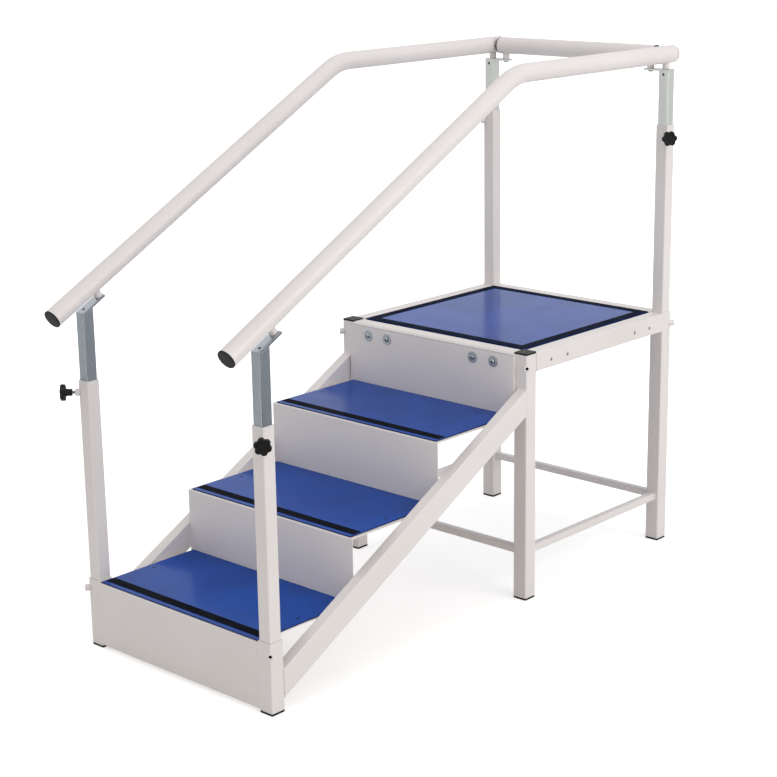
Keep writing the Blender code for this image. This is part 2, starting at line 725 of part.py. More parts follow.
def post_mesh(bottom, top, direction):
    """An outer post with the clamp's threaded boss welded over one corner."""
    boss_end = corner_reach(POST) + CLAMP_BOSS_LENGTH
    boss = rod(CLAMP_BOSS_RADIUS, boss_end, ROUND)
    hole = rod(STUD_RADIUS + GAP, boss_end + POST)
    inside = POST - 2 * POST_WALL
    bore = square_bar(inside, inside, top - bottom + POST, CORNER_RADIUS / 3)
    across = aimed((0, 0, top - CLAMP_DROP), direction)
    return carve(moved(square_bar(POST, POST, top - bottom), at(0, 0, bottom)),
                 joins=[(boss, across)],
                 cuts=[(bore, at(0, 0, bottom - POST / 2)), (hole, across)])


def knob_mesh():
    """A lobed knob with its hub, from the hub's face at Z = 0 outwards."""
    count = KNOB_LOBES * KNOB_LOBE_POINTS
    outline = []
    for index in range(count):
        angle = 2 * math.pi * index / count
        radius = KNOB_RADIUS - KNOB_SCALLOP / 2 * (1 - math.cos(KNOB_LOBES * angle))
        outline.append((-radius * math.sin(angle), radius * math.cos(angle)))
    disc = moved(extruded(outline, KNOB_THICKNESS), at(0, 0, HUB_LENGTH))
    bm = bmesh.new()
    bm.from_mesh(disc)
    rims = [edge for edge in bm.edges if len({round(v.co.z, 5) for v in edge.verts}) == 1
            and len(edge.link_faces) == 2
            and abs(edge.link_faces[0].normal.z - edge.link_faces[1].normal.z) > 0.5]
    bmesh.ops.bevel(bm, geom=rims, offset=KNOB_EDGE, segments=1, profile=0.5, affect="EDGES")
    bm.to_mesh(disc)
    bm.free()
    hub = rod(HUB_RADIUS, HUB_LENGTH + KNOB_THICKNESS / 2, ROUND)
    bore = rod(STUD_RADIUS + GAP, STUD_GRIP + GAP + HUB_LENGTH)
    return carve(disc, joins=[(hub, at(0, 0, 0))], cuts=[(bore, at(0, 0, -HUB_LENGTH))])


def add_posts():
    """Outer posts, and on each a clamp knob with its stud."""
    front_bottom = FOOT_THICKNESS + FOOT_PLUG + GAP
    rear_bottom = PLATFORM_HEIGHT - REAR_POST_INSERTION
    stud_start = corner_reach(SLIDER) + GAP
    hub_start = corner_reach(POST) + CLAMP_BOSS_LENGTH + STUD_SHOWN
    stud = rod(STUD_RADIUS, hub_start + STUD_GRIP - stud_start)
    knob = knob_mesh()
    for end, x, bottom, top in (("front", FRONT_LEG_X, front_bottom, FRONT_POST_TOP),
                                ("rear", REAR_LEG_X, rear_bottom, REAR_POST_TOP)):
        for side_name, side in SIDES:
            name = f"{end}_{side_name}"
            direction = corner_axis(-1, side)
            centre = Vector((x, side * SIDE_Y, 0))
            part("outer_post_" + name, post_mesh(bottom, top, direction), "white", at(*centre))
            pivot = centre + Vector((0, 0, top - CLAMP_DROP)) + direction * hub_start
            screw = carrier("clamp_screw_" + name, pivot, FRAME)
            shift = direction * (stud_start - hub_start)
            part("clamp_stud_" + name, stud.copy(), "steel", aimed(pivot + shift, direction), screw)
            turn = Matrix.Rotation(math.radians(KNOB_TURNS[name]), 4, "Z")
            part("clamp_knob_" + name, knob.copy(), "black_plastic",
                 aimed(pivot, direction) @ turn, screw)


# Handrail assembly, which slides up and down in the posts

def rail_path(extra=0.0):
    """Points of a side rail's axis in X and Z, lengthened by extra at both ends."""
    tangent = RAIL_BEND_RADIUS * math.tan(SLOPE / 2)
    run = Vector((math.cos(SLOPE), 0, math.sin(SLOPE)))
    low = Vector((-RAIL_FRONT_OVERHANG, 0, rail_axis_z(-RAIL_FRONT_OVERHANG)))
    centre = Vector((RAIL_CORNER_X + tangent, 0, RAIL_Z - RAIL_BEND_RADIUS))
    points = [low - run * extra]
    for step in range(RAIL_BEND_STEPS + 1):
        angle = SLOPE * (1 - step / RAIL_BEND_STEPS)
        points.append(centre + RAIL_BEND_RADIUS * Vector((-math.sin(angle), 0, math.cos(angle))))
    points.append(Vector((RAIL_REAR_X + extra, 0, RAIL_Z)))
    return points


def stub_tools(foot, direction):
    """Stub that joins a rail to its plate, and the blind hole for its bolt, from its foot up."""
    place = aimed(foot, direction, (0, 1, 0))
    stub = rod(STUB_RADIUS, RAIL_STANDOFF + RAIL_RADIUS - GAP, ROUND)
    hole = rod(BOLT_RADIUS + GAP, RAIL_BOLT_GRIP + GAP + PLATE)
    return (stub, place), (hole, place @ at(0, 0, -PLATE))


def stub_foot(x, y):
    """Point where a stub stands on its plate, and the direction of the stub."""
    tilt = SLOPE if x < RAIL_CORNER_X else 0.0
    direction = Vector((-math.sin(tilt), 0, math.cos(tilt)))
    plate_top = RAIL_RADIUS + RAIL_STANDOFF - GAP
    axis_x = x - plate_top * math.sin(tilt)
    return Vector((axis_x, y, rail_axis_z(axis_x))) - direction * plate_top, direction


def rail_cap():
    """A cap with its plug below Z = 0 and its head above."""
    plug = RAIL_RADIUS - RAIL_WALL - GAP
    return turned([(0, RAIL_CAP), (RAIL_RADIUS - RAIL_CAP_EDGE, RAIL_CAP),
                   (RAIL_RADIUS, RAIL_CAP - RAIL_CAP_EDGE), (RAIL_RADIUS, GAP), (plug, GAP),
                   (plug, -RAIL_CAP_PLUG), (0, -RAIL_CAP_PLUG)], ROUND)


def rail_mesh(path, over, feet):
    """A rail tube with stubs, each with a blind bolt hole; over is the path of its longer bore."""
    tools = [stub_tools(foot, direction) for foot, direction in feet]
    bore = round_tube(over, RAIL_RADIUS - RAIL_WALL, RAIL_ROUND)
    return carve(round_tube(path, RAIL_RADIUS, RAIL_ROUND),
                 joins=[stub for stub, _ in tools],
                 cuts=[(bore, at(0, 0, 0))] + [hole for _, hole in tools])


def add_rails(slide):
    """Two side rails with their end caps, and the cross rail between them."""
    cap = rail_cap()
    for side_name, side in SIDES:
        y = side * RAIL_Y
        shift = Vector((0, y, 0))
        path = [point + shift for point in rail_path()]
        over = [point + shift for point in rail_path(RAIL_CAP)]
        feet = [stub_foot(STUB_FRONT_X, y), stub_foot(REAR_LEG_X, y)]
        part("side_rail_" + side_name, rail_mesh(path, over, feet), "white", parent=slide)
        for end, place, neighbour in (("front", path[0], path[1]), ("rear", path[-1], path[-2])):
            part(f"rail_cap_{end}_{side_name}", cap.copy(), "black_plastic",
                 aimed(place, place - neighbour, (0, 1, 0)), slide)
    feet = [stub_foot(REAR_LEG_X, side * CROSS_STUB_Y) for _, side in SIDES]
    path = [Vector((REAR_LEG_X, side * CROSS_HALF, RAIL_Z)) for _, side in SIDES]
    over = [Vector((REAR_LEG_X, side * (CROSS_HALF + RAIL_CAP), RAIL_Z)) for _, side in SIDES]
    part("cross_rail", rail_mesh(path, over, feet), "white", parent=slide)


def bolt_drill(foot, direction):
    """Clearance hole through a plate, below a stub."""
    length = 3 * PLATE
    below = foot - direction * (length - PLATE)
    return rod(BOLT_RADIUS + GAP, length), aimed(below, direction, (0, 1, 0))


def add_sliders(slide):
    """Galvanised inner tubes with the plates that carry the rails."""
    run = Vector((math.cos(SLOPE), 0, math.sin(SLOPE)))
    lift = Vector((-math.sin(SLOPE), 0, math.cos(SLOPE)))
    for side_name, side in SIDES:
        y = side * SIDE_Y
        bottom = FRONT_POST_TOP - SLIDER_INSERTION
        length = FRONT_SLIDER_TOP - bottom
        tube = moved(square_tube(SLIDER, SLIDER, SLIDER_WALL, length), at(0, 0, bottom))
        for vertex in tube.vertices:
            if vertex.co.z > FRONT_POST_TOP:
                vertex.co.z += math.tan(SLOPE) * vertex.co.x + GAP
        tube.transform(at(FRONT_LEG_X, y, 0))
        half = SLIDER / 2 - PLATE_SETBACK
        plate = block((-half, -half, 0), (FRONT_PLATE_LENGTH * math.cos(SLOPE) - SLIDER / 2, half,
                                          PLATE / math.cos(SLOPE)))
        plate.transform(sheared(SLOPE))
        over_tube = Vector((FRONT_LEG_X, y, FRONT_SLIDER_TOP)) - lift * PLATE
        drills = [bolt_drill(*stub_foot(STUB_FRONT_X, side * RAIL_Y)),
                  (rod(PLATE_HOLE_RADIUS, 3 * PLATE), aimed(over_tube, lift, run))]
        mesh = carve(tube, joins=[(plate, at(FRONT_LEG_X, y, FRONT_SLIDER_TOP))], cuts=drills)
        part("inner_tube_front_" + side_name, mesh, "zinc", parent=slide)
        bottom = REAR_POST_TOP - SLIDER_INSERTION
        length = REAR_PLATE_Z + GAP - bottom
        tube = moved(square_tube(SLIDER, SLIDER, SLIDER_WALL, length), at(REAR_LEG_X, y, bottom))
        outer = side * (SIDE_Y + half)
        inner = side * (CROSS_STUB_Y - STUB_RADIUS - PLATE_MARGIN)
        plate = block((REAR_LEG_X - half, min(outer, inner), REAR_PLATE_Z),
                      (REAR_LEG_X + half, max(outer, inner), REAR_PLATE_Z + PLATE))
        vent = aimed((REAR_LEG_X, y, REAR_PLATE_Z - VENT_DROP), (-1, 0, 0))
        drills = [bolt_drill(*stub_foot(REAR_LEG_X, side * RAIL_Y)),
                  bolt_drill(*stub_foot(REAR_LEG_X, side * CROSS_STUB_Y)),
                  (rod(VENT_RADIUS, SLIDER), vent)]
        mesh = carve(tube, joins=[(plate, at(0, 0, 0))], cuts=drills)
        part("inner_tube_rear_" + side_name, mesh, "zinc", parent=slide)


def centre_on_floor():
    """Move the frame so that the middle of the whole object is at X = 0."""
    bpy.context.view_layer.update()
    reach = [(obj.matrix_world @ vertex.co).x for obj in PARTS.objects if obj.type == "MESH"
             for vertex in obj.data.vertices]
    FRAME.location.x = -(min(reach) + max(reach)) / 2


add_legs()
add_platform_frame()
add_platform_board()
add_stringers()
add_steps()
add_back_panel()
add_posts()
HANDRAIL = carrier("handrail_slide", (REAR_LEG_X, 0, REAR_POST_TOP), FRAME)
add_sliders(HANDRAIL)
add_rails(HANDRAIL)
centre_on_floor()
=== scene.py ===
"""Looks of the therapy stairs: fine surfaces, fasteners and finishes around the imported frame.

All sizes are in metres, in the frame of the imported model: +X runs up the stairs, +Y to the left of
someone who climbs, and Z = 0 is the floor.
"""
import json
import logging
import math
from dataclasses import dataclass, field
from enum import Enum
from typing import Sequence

import bmesh
import bpy
from mathutils import Matrix, Vector

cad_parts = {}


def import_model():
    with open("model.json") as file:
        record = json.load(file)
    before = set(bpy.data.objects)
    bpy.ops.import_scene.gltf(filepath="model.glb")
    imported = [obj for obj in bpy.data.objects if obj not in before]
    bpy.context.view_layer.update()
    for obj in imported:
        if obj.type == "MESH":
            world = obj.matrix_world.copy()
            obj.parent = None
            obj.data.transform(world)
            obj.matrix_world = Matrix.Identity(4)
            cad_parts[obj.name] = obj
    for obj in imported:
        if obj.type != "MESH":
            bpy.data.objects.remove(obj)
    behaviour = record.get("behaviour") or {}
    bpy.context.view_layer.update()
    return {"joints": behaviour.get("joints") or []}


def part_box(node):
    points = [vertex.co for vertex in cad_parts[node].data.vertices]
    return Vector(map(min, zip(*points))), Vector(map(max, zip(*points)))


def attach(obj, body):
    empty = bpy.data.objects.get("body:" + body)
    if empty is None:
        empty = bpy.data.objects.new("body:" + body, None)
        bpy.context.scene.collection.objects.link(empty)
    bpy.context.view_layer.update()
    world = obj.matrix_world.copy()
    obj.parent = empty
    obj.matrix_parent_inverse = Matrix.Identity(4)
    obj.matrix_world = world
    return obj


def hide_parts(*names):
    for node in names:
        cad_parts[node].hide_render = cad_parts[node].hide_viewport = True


LOG = logging.getLogger("therapy_stairs")

Mesh = bmesh.types.BMesh
Profile = Sequence[tuple[float, float]]
Socket = bpy.types.NodeSocket
Tree = bpy.types.NodeTree

ALONG = Vector((1, 0, 0))
ACROSS = Vector((0, 1, 0))
UP = Vector((0, 0, 1))
SIDES = (("left", 1), ("right", -1))
POST_FEET = {"front": "front_foot", "rear": "platform_rear_foot"}
# Module holes of the platform's beams, from the middle of a row and below the deck
HOLE_SPOTS = (-0.2145, -0.147, 0.147, 0.2145)
HOLE_DROP = 0.030

SHARP_ANGLE = math.radians(50)
FLAT_ANGLE = math.radians(0.5)
MERGE_DISTANCE = 0.00002
CORNER_STEPS = 5
FILLET_STEPS = 4
WELD_FOOT = 0.0002
# Shares of a face's unit normal along an axis: above the first it looks that way, below the second
# it stands upright
FACING = 0.9
UPRIGHT = 0.5


class Slot(Enum):
    """Material slots of the record."""

    WHITE_COAT = "white_coat"
    BLUE_BOARD = "blue_board"
    GRIP_STRIP = "grip_strip"
    BLACK_PLASTIC = "black_plastic"
    ZINC_TUBE = "zinc_tube"
    PLAIN_STEEL = "plain_steel"


class Body(Enum):
    """The two large bodies. Each clamp also has a body for its stud and one for its knob."""

    FRAME = "frame"
    HANDRAIL = "handrail"


# Colours, nodes and finishes

MIX_A = 6
MIX_B = 7
MIX_COLOUR = 2
NOISE_LOW = 0.35
NOISE_HIGH = 0.65
# Attribute of a board's upright faces, which are painted dark: the laminate's core and painted shade
CORE_AND_SHADE = "core_and_shade"


def linear(code: str) -> tuple[float, float, float, float]:
    """Turn a colour from sRGB to linear light.

    Args:
        code: Six hexadecimal digits, red first.

    Returns:
        Red, green, blue and an alpha of 1.
    """
    channels = [int(code[place:place + 2], 16) / 255 for place in (0, 2, 4)]
    red, green, blue = (
        value / 12.92 if value <= 0.04045 else ((value + 0.055) / 1.055) ** 2.4
        for value in channels
    )
    return red, green, blue, 1.0


def add_node(tree: Tree, kind: str, settings: dict | None = None,
             links: dict | None = None) -> bpy.types.Node:
    """Add a node to a tree.

    Args:
        tree: The node tree.
        kind: The node's type name.
        settings: Values by the name of a property, or by the name or number of an input.
        links: Output sockets by the name or number of the input that each feeds.

    Returns:
        The new node.
    """
    node = tree.nodes.new(kind)
    for key, value in (settings or {}).items():
        if isinstance(key, str) and hasattr(node, key):
            setattr(node, key, value)
        else:
            node.inputs[key].default_value = value
    for key, socket in (links or {}).items():
        tree.links.new(socket, node.inputs[key])
    return node


def blank_tree(owner: bpy.types.Material | bpy.types.World) -> Tree:
    """Give a material or world an empty node tree.

    Args:
        owner: The material or world.

    Returns:
        The tree.
    """
    owner.use_nodes = True
    owner.node_tree.nodes.clear()
    return owner.node_tree


@dataclass(frozen=True)
class Finish:
    """A procedural material: a tone between two colours, an uneven sheen and a fine relief.

    Over patches the roughness falls by as much as polished and rises by as much as dulled. relief
    is the strength of the bump map. A subclass draws its patterns in dress, with scales from widths
    in metres, and what lies over the tone in cover.
    """

    name: str
    colour: str
    roughness: float
    shade: str
    metallic: float = 0.0
    gloss: float = 0.5
    polished: float = 0.06
    dulled: float = 0.1
    relief: float = 0.5
    relief_height: float = 0.00003
    relief_sunk: bool = False

    def build(self) -> bpy.types.Material:
        """Make the material.

        Returns:
            The material, with its nodes.
        """
        material = bpy.data.materials.new(self.name)
        material.diffuse_color = linear(self.colour)
        tree = blank_tree(material)
        place = add_node(tree, "ShaderNodeTexCoord").outputs["Object"]
        share, sheen, height = self.dress(tree, place)
        tone = add_node(tree, "ShaderNodeMix",
                        {"data_type": "RGBA", MIX_A: linear(self.colour), MIX_B: linear(self.shade)},
                        {"Factor": share})
        bump = add_node(tree, "ShaderNodeBump", {"invert": self.relief_sunk, "Strength": self.relief,
                                                 "Distance": self.relief_height}, {"Height": height})
        shader = add_node(
            tree, "ShaderNodeBsdfPrincipled",
            {"Base Color": linear(self.colour), "Roughness": self.roughness,
             "Metallic": self.metallic, "Specular IOR Level": self.gloss},
            {"Base Color": self.cover(tree, place, tone.outputs[MIX_COLOUR]),
             "Roughness": self.spread(tree, sheen, self.roughness - self.polished,
                                      self.roughness + self.dulled),
             "Normal": bump.outputs["Normal"]})
        add_node(tree, "ShaderNodeOutputMaterial", links={"Surface": shader.outputs["BSDF"]})
        return material

    def dress(self, tree: Tree, place: Socket) -> tuple[Socket, Socket, Socket]:
        """Draw the patterns of the finish.

        Args:
            tree: The material's node tree.
            place: Coordinates on the object, in metres.

        Returns:
            Share of the shade in the tone, noise of the sheen and height of the relief.
        """
        raise NotImplementedError

    def cover(self, tree: Tree, place: Socket, tone: Socket) -> Socket:
        """Lay something over the tone.

        Args:
            tree: The material's node tree.
            place: Coordinates on the object, in metres.
            tone: The colour so far.

        Returns:
            The colour that is seen, which is the tone unless a subclass covers it.
        """
        return tone

    @staticmethod
    def spread(tree: Tree, source: Socket, low: float, high: float) -> Socket:
        """Stretch the middle of a noise to a range of values.

        Args:
            tree: The material's node tree.
            source: The noise.
            low: Value at the noise's low side.
            high: Value at its high side.

        Returns:
            The stretched value.
        """
        return add_node(tree, "ShaderNodeMapRange",
                        {"From Min": NOISE_LOW, "From Max": NOISE_HIGH, "To Min": low, "To Max": high},
                        {"Value": source}).outputs["Result"]


@dataclass(frozen=True)
class PowderCoat(Finish):
    """Polyester powder coat on steel, sprayed and baked: soft sheen and a fine orange peel."""

    shade: str = "DDD6D3"
    dust: str = "B9B2A8"
    dust_height: float = 0.05
    dust_amount: float = 0.12
    cloud_width: float = 1 / 3
    speck_width: float = 1 / 45
    patch_width: float = 1 / 22
    peel_width: float = 0.003
    polished: float = 0.03
    dulled: float = 0.04
    relief: float = 0.35
    relief_height: float = 0.00001

    def dress(self, tree: Tree, place: Socket) -> tuple[Socket, Socket, Socket]:
        """Draw a cloudy tone, handling marks of a few centimetres in the sheen, and orange peel.

        Args:
            tree: The material's node tree.
            place: Coordinates on the object, in metres.

        Returns:
            Share of the shade, noise of the sheen and height of the relief.
        """
        cloud = add_node(tree, "ShaderNodeTexNoise", {"Scale": 1 / self.cloud_width, "Detail": 3.0},
                         {"Vector": place})
        patch = add_node(tree, "ShaderNodeTexNoise", {"Scale": 1 / self.patch_width, "Detail": 5.0},
                         {"Vector": place})
        # The real peel is 1 to 2 mm wide, which is too fine for the picture, so it is drawn at 3 mm
        peel = add_node(tree, "ShaderNodeTexNoise", {"Scale": 1 / self.peel_width, "Detail": 2.0},
                        {"Vector": place})
        return (self.spread(tree, cloud.outputs["Fac"], 0.0, 0.5), patch.outputs["Fac"],
                peel.outputs["Fac"])

    def cover(self, tree: Tree, place: Socket, tone: Socket) -> Socket:
        """Lay specks of dust on the lowest few centimetres.

        Args:
            tree: The material's node tree.
            place: Coordinates on the object, in metres.
            tone: The colour so far.

        Returns:
            The dusty colour.
        """
        height = add_node(tree, "ShaderNodeSeparateXYZ", links={"Vector": place}).outputs["Z"]
        low = add_node(tree, "ShaderNodeMapRange",
                       {"From Min": 0.0, "From Max": self.dust_height, "To Min": self.dust_amount,
                        "To Max": 0.0}, {"Value": height})
        speck = add_node(tree, "ShaderNodeTexNoise", {"Scale": 1 / self.speck_width, "Detail": 6.0},
                         {"Vector": place})
        amount = add_node(tree, "ShaderNodeMath", {"operation": "MULTIPLY"},
                          {0: low.outputs["Result"],
                           1: self.spread(tree, speck.outputs["Fac"], 0.1, 1.0)})
        dusty = add_node(tree, "ShaderNodeMix", {"data_type": "RGBA", MIX_B: linear(self.dust)},
                         {"Factor": amount.outputs["Value"], MIX_A: tone})
        return dusty.outputs[MIX_COLOUR]


@dataclass(frozen=True)
class Laminate(Finish):
    """High-pressure laminate on board, pressed with a fine pearl texture: a satin blue face."""

    shade: str = "0A3A86"
    # Dark blue of the upright faces: the laminate's core, and painted shade on the board's edges
    core_and_shade: str = "0B2450"
    cloud_width: float = 1 / 7
    grain_width: float = 1 / 700
    scuff_width: float = 1 / 14
    pearl_width: float = 0.0016
    gloss: float = 0.08
    polished: float = 0.02
    dulled: float = 0.03
    relief_height: float = 0.00002

    def dress(self, tree: Tree, place: Socket) -> tuple[Socket, Socket, Socket]:
        """Draw faint mottling, shoe scuffs in the sheen and the pressed pearl.

        Args:
            tree: The material's node tree.
            place: Coordinates on the object, in metres.

        Returns:
            Share of the shade, noise of the sheen and height of the relief.
        """
        cloud = add_node(tree, "ShaderNodeTexNoise", {"Scale": 1 / self.cloud_width, "Detail": 4.0},
                         {"Vector": place})
        grain = add_node(tree, "ShaderNodeTexNoise", {"Scale": 1 / self.grain_width, "Detail": 1.0},
                         {"Vector": place})
        mottle = add_node(tree, "ShaderNodeMath", {"operation": "MULTIPLY_ADD", 1: 0.5},
                          {0: grain.outputs["Fac"],
                           2: self.spread(tree, cloud.outputs["Fac"], -0.2, 0.4)})
        scuff = add_node(tree, "ShaderNodeTexNoise",
                         {"Scale": 1 / self.scuff_width, "Detail": 6.0, "Roughness": 0.6},
                         {"Vector": place})
        pearl = add_node(tree, "ShaderNodeTexVoronoi",
                         {"feature": "SMOOTH_F1", "Scale": 1 / self.pearl_width}, {"Vector": place})
        return mottle.outputs["Value"], scuff.outputs["Fac"], pearl.outputs["Distance"]

    def cover(self, tree: Tree, place: Socket, tone: Socket) -> Socket:
        """Paint the upright faces dark by their attribute: the laminate's dark core on the cut edges,
        and painted shade on the board's edges.

        Args:
            tree: The material's node tree.
            place: Coordinates on the object, in metres.
            tone: The colour so far.

        Returns:
            The colour with its edges.
        """
        edge = add_node(tree, "ShaderNodeAttribute", {"attribute_name": CORE_AND_SHADE})
        whole = add_node(tree, "ShaderNodeMix", {"data_type": "RGBA", MIX_B: linear(self.core_and_shade)},
                         {"Factor": edge.outputs["Fac"], MIX_A: tone})
        return whole.outputs[MIX_COLOUR]


@dataclass(frozen=True)
class GripTape(Finish):
    """Mineral grit glued on a black film: matt, sandy and with a few bright grains."""

    shade: str = "141E2E"
    grit_width: float = 0.0012
    patch_width: float = 1 / 18
    gloss: float = 0.06
    polished: float = 0.12
    dulled: float = 0.04
    relief: float = 0.8
    relief_height: float = 0.0004
    relief_sunk: bool = True

    def dress(self, tree: Tree, place: Socket) -> tuple[Socket, Socket, Socket]:
        """Draw grains of grit, some paler, and patches that shoes have polished.

        Args:
            tree: The material's node tree.
            place: Coordinates on the object, in metres.

        Returns:
            Share of the shade, noise of the sheen and height of the relief.
        """
        # Real grit is about 0.3 mm wide, so it is drawn four times as coarse
        grit = add_node(tree, "ShaderNodeTexVoronoi", {"Scale": 1 / self.grit_width}, {"Vector": place})
        lone = add_node(tree, "ShaderNodeMapRange", {"From Min": 0.75, "From Max": 1.0},
                        {"Value": grit.outputs["Color"]})
        patch = add_node(tree, "ShaderNodeTexNoise", {"Scale": 1 / self.patch_width, "Detail": 3.0},
                         {"Vector": place})
        return lone.outputs["Result"], patch.outputs["Fac"], grit.outputs["Distance"]


@dataclass(frozen=True)
class MouldedPlastic(Finish):
    """Injection-moulded black polyamide with a spark-eroded grain: dull black with grey rubs."""

    shade: str = "161617"
    rub_width: float = 1 / 120
    grain_width: float = 0.0009
    gloss: float = 0.25
    relief_height: float = 0.00006

    def dress(self, tree: Tree, place: Socket) -> tuple[Socket, Socket, Socket]:
        """Draw grey rubs and the mould's grain.

        Args:
            tree: The material's node tree.
            place: Coordinates on the object, in metres.

        Returns:
            Share of the shade, noise of the sheen and height of the relief.
        """
        rubs = add_node(tree, "ShaderNodeTexNoise",
                        {"Scale": 1 / self.rub_width, "Detail": 8.0, "Roughness": 0.7},
                        {"Vector": place}).outputs["Fac"]
        grain = add_node(tree, "ShaderNodeTexNoise", {"Scale": 1 / self.grain_width, "Detail": 2.0},
                         {"Vector": place})
        return self.spread(tree, rubs, 0.0, 0.7), rubs, grain.outputs["Fac"]


@dataclass(frozen=True)
class DrawnZinc(Finish):
    """Galvanised drawn steel tube: blue-grey, faintly spangled, scored along its length."""

    shade: str = "A8AFB5"
    spangle_width: float = 0.011
    line_width: float = 1 / 260
    line_length: float = 1 / 3
    metallic: float = 0.85
    polished: float = 0.02
    dulled: float = 0.03
    relief: float = 0.1
    relief_height: float = 0.00001

    def dress(self, tree: Tree, place: Socket) -> tuple[Socket, Socket, Socket]:
        """Draw zinc crystals and the lines that drawing leaves along the tube.

        Args:
            tree: The material's node tree.
            place: Coordinates on the object, in metres.

        Returns:
            Share of the shade, noise of the sheen and height of the relief.
        """
        crystal = add_node(tree, "ShaderNodeTexVoronoi", {"Scale": 1 / self.spangle_width},
                           {"Vector": place})
        stretch = (1 / self.line_width, 1 / self.line_width, 1 / self.line_length)
        stretched = add_node(tree, "ShaderNodeMapping", {"Scale": stretch}, {"Vector": place})
        lines = add_node(tree, "ShaderNodeTexNoise", {"Scale": 1.0, "Detail": 4.0},
                         {"Vector": stretched.outputs["Vector"]}).outputs["Fac"]
        blend = add_node(tree, "ShaderNodeMath", {"operation": "MULTIPLY_ADD", 1: 0.2},
                         {0: crystal.outputs["Color"], 2: self.spread(tree, lines, 0.2, 0.38)})
        return blend.outputs["Value"], lines, lines


@dataclass(frozen=True)
class PlatedSteel(Finish):
    """Steel of bought fasteners, zinc-plated and passivated: bright, with a blue tint.

    Screws that are blackened or blued have darker colours. The threaded inserts are near black with no
    metallic share: painted shade inside the module holes.
    """

    shade: str = "8F979F"
    tint_width: float = 1 / 160
    grain_width: float = 1 / 900
    metallic: float = 1.0
    relief: float = 0.3

    def dress(self, tree: Tree, place: Socket) -> tuple[Socket, Socket, Socket]:
        """Draw a tint that drifts over millimetres and a fine tumbled surface.

        Args:
            tree: The material's node tree.
            place: Coordinates on the object, in metres.

        Returns:
            Share of the shade, noise of the sheen and height of the relief.
        """
        drift = add_node(tree, "ShaderNodeTexNoise", {"Scale": 1 / self.tint_width, "Detail": 3.0},
                         {"Vector": place})
        tumbled = add_node(tree, "ShaderNodeTexNoise", {"Scale": 1 / self.grain_width, "Detail": 2.0},
                           {"Vector": place}).outputs["Fac"]
        return self.spread(tree, drift.outputs["Fac"], 0.0, 0.9), tumbled, tumbled


class Look:
    """A built finish with the record's slot of the pieces that wear it."""

    def __init__(self, finish: Finish, slot: Slot) -> None:
        """Build the finish and keep its slot."""
        self.material = finish.build()
        self.slot = slot

    def dress(self, node: str) -> None:
        """Give the finish to a CAD node that stays.

        Args:
            node: Name of the node.
        """
        materials = bpy.data.objects[node].data.materials
        materials.clear()
        materials.append(self.material)
        LOG.info("%s: kept, in %s", node, self.material.name)


class Palette:
    """The looks of the stairs, built once and shared by the pieces."""

    def __init__(self) -> None:
        """Build the looks."""
        self.coat = Look(PowderCoat("powder_coated_steel", "E6E0DE", 0.36), Slot.WHITE_COAT)
        self.laminate = Look(Laminate("pearl_laminate", "0547A5", 0.20), Slot.BLUE_BOARD)
        self.grip = Look(GripTape("anti_slip_grit_tape", "050A14", 0.88), Slot.GRIP_STRIP)
        self.border = Look(GripTape("anti_slip_border_tape", "060F24", 0.88, shade="121D33"),
                           Slot.GRIP_STRIP)
        self.plastic = Look(MouldedPlastic("moulded_polyamide", "0B0B0C", 0.46), Slot.BLACK_PLASTIC)
        # Two copies of one zinc: the rear one is paler, painted light for the brighter reflections on
        # the rear tubes
        self.zinc = {
            "front": Look(DrawnZinc("galvanised_drawn_tube", "BCC3C8", 0.24), Slot.ZINC_TUBE),
            "rear": Look(DrawnZinc("galvanised_tube_painted_brighter", "D6D8D5", 0.34, shade="C4C7C5"),
                         Slot.ZINC_TUBE)}
        self.plated = Look(PlatedSteel("zinc_plated_fastener", "B4B9BE", 0.32), Slot.PLAIN_STEEL)
        self.blackened = Look(PlatedSteel("blackened_screw", "121315", 0.50, shade="0A0B0C"),
                              Slot.PLAIN_STEEL)
        # The inserts are welded into the coated beams, so they are in the slot of the coat. Their
        # near-black colour without metal is painted shade inside the module holes
        self.insert_painted_shade = Look(PlatedSteel("black_insert_painted_shade", "060607", 0.80, shade="030303",
                                      metallic=0.0, gloss=0.08), Slot.WHITE_COAT)
        self.blued = Look(PlatedSteel("blued_screw", "2B3F66", 0.46, shade="1E2C4A"),
                          Slot.PLAIN_STEEL)


# Matrices and boxes


def aimed(origin: Vector, direction: Vector, up: Vector = UP) -> Matrix:
    """Matrix that puts local Z along a direction and local Y near another.

    Args:
        origin: Where local zero goes.
        direction: Where local Z points.
        up: Where local Y points, as nearly as it can.

    Returns:
        The matrix.
    """
    z_axis = direction.normalized()
    x_axis = up.cross(z_axis).normalized()
    matrix = Matrix((x_axis, z_axis.cross(x_axis), z_axis)).transposed().to_4x4()
    matrix.translation = origin
    return matrix


def at(x: float, y: float, z: float) -> Matrix:
    """Matrix of a plain move."""
    return Matrix.Translation((x, y, z))


def slanted(slope: float) -> Matrix:
    """Matrix that raises what is further along X, as the stairs do.

    Args:
        slope: Angle of the stairs.

    Returns:
        The matrix.
    """
    matrix = Matrix.Identity(4)
    matrix[2][0] = math.tan(slope)
    return matrix


def middle(node: str) -> Vector:
    """The middle of a CAD node's box."""
    low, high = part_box(node)
    return (low + high) / 2


# Closed shells, each along local Z from Z = 0 unless it says otherwise


def moved(bm: Mesh, grown: dict, way: Vector) -> list[bmesh.types.BMVert]:
    """Move the vertices that an extrusion made.

    Args:
        bm: The mesh.
        grown: What the extrusion returned.
        way: How far they go.

    Returns:
        The vertices.
    """
    verts = [item for item in grown["geom"] if isinstance(item, bmesh.types.BMVert)]
    bmesh.ops.translate(bm, vec=way, verts=verts)
    return verts


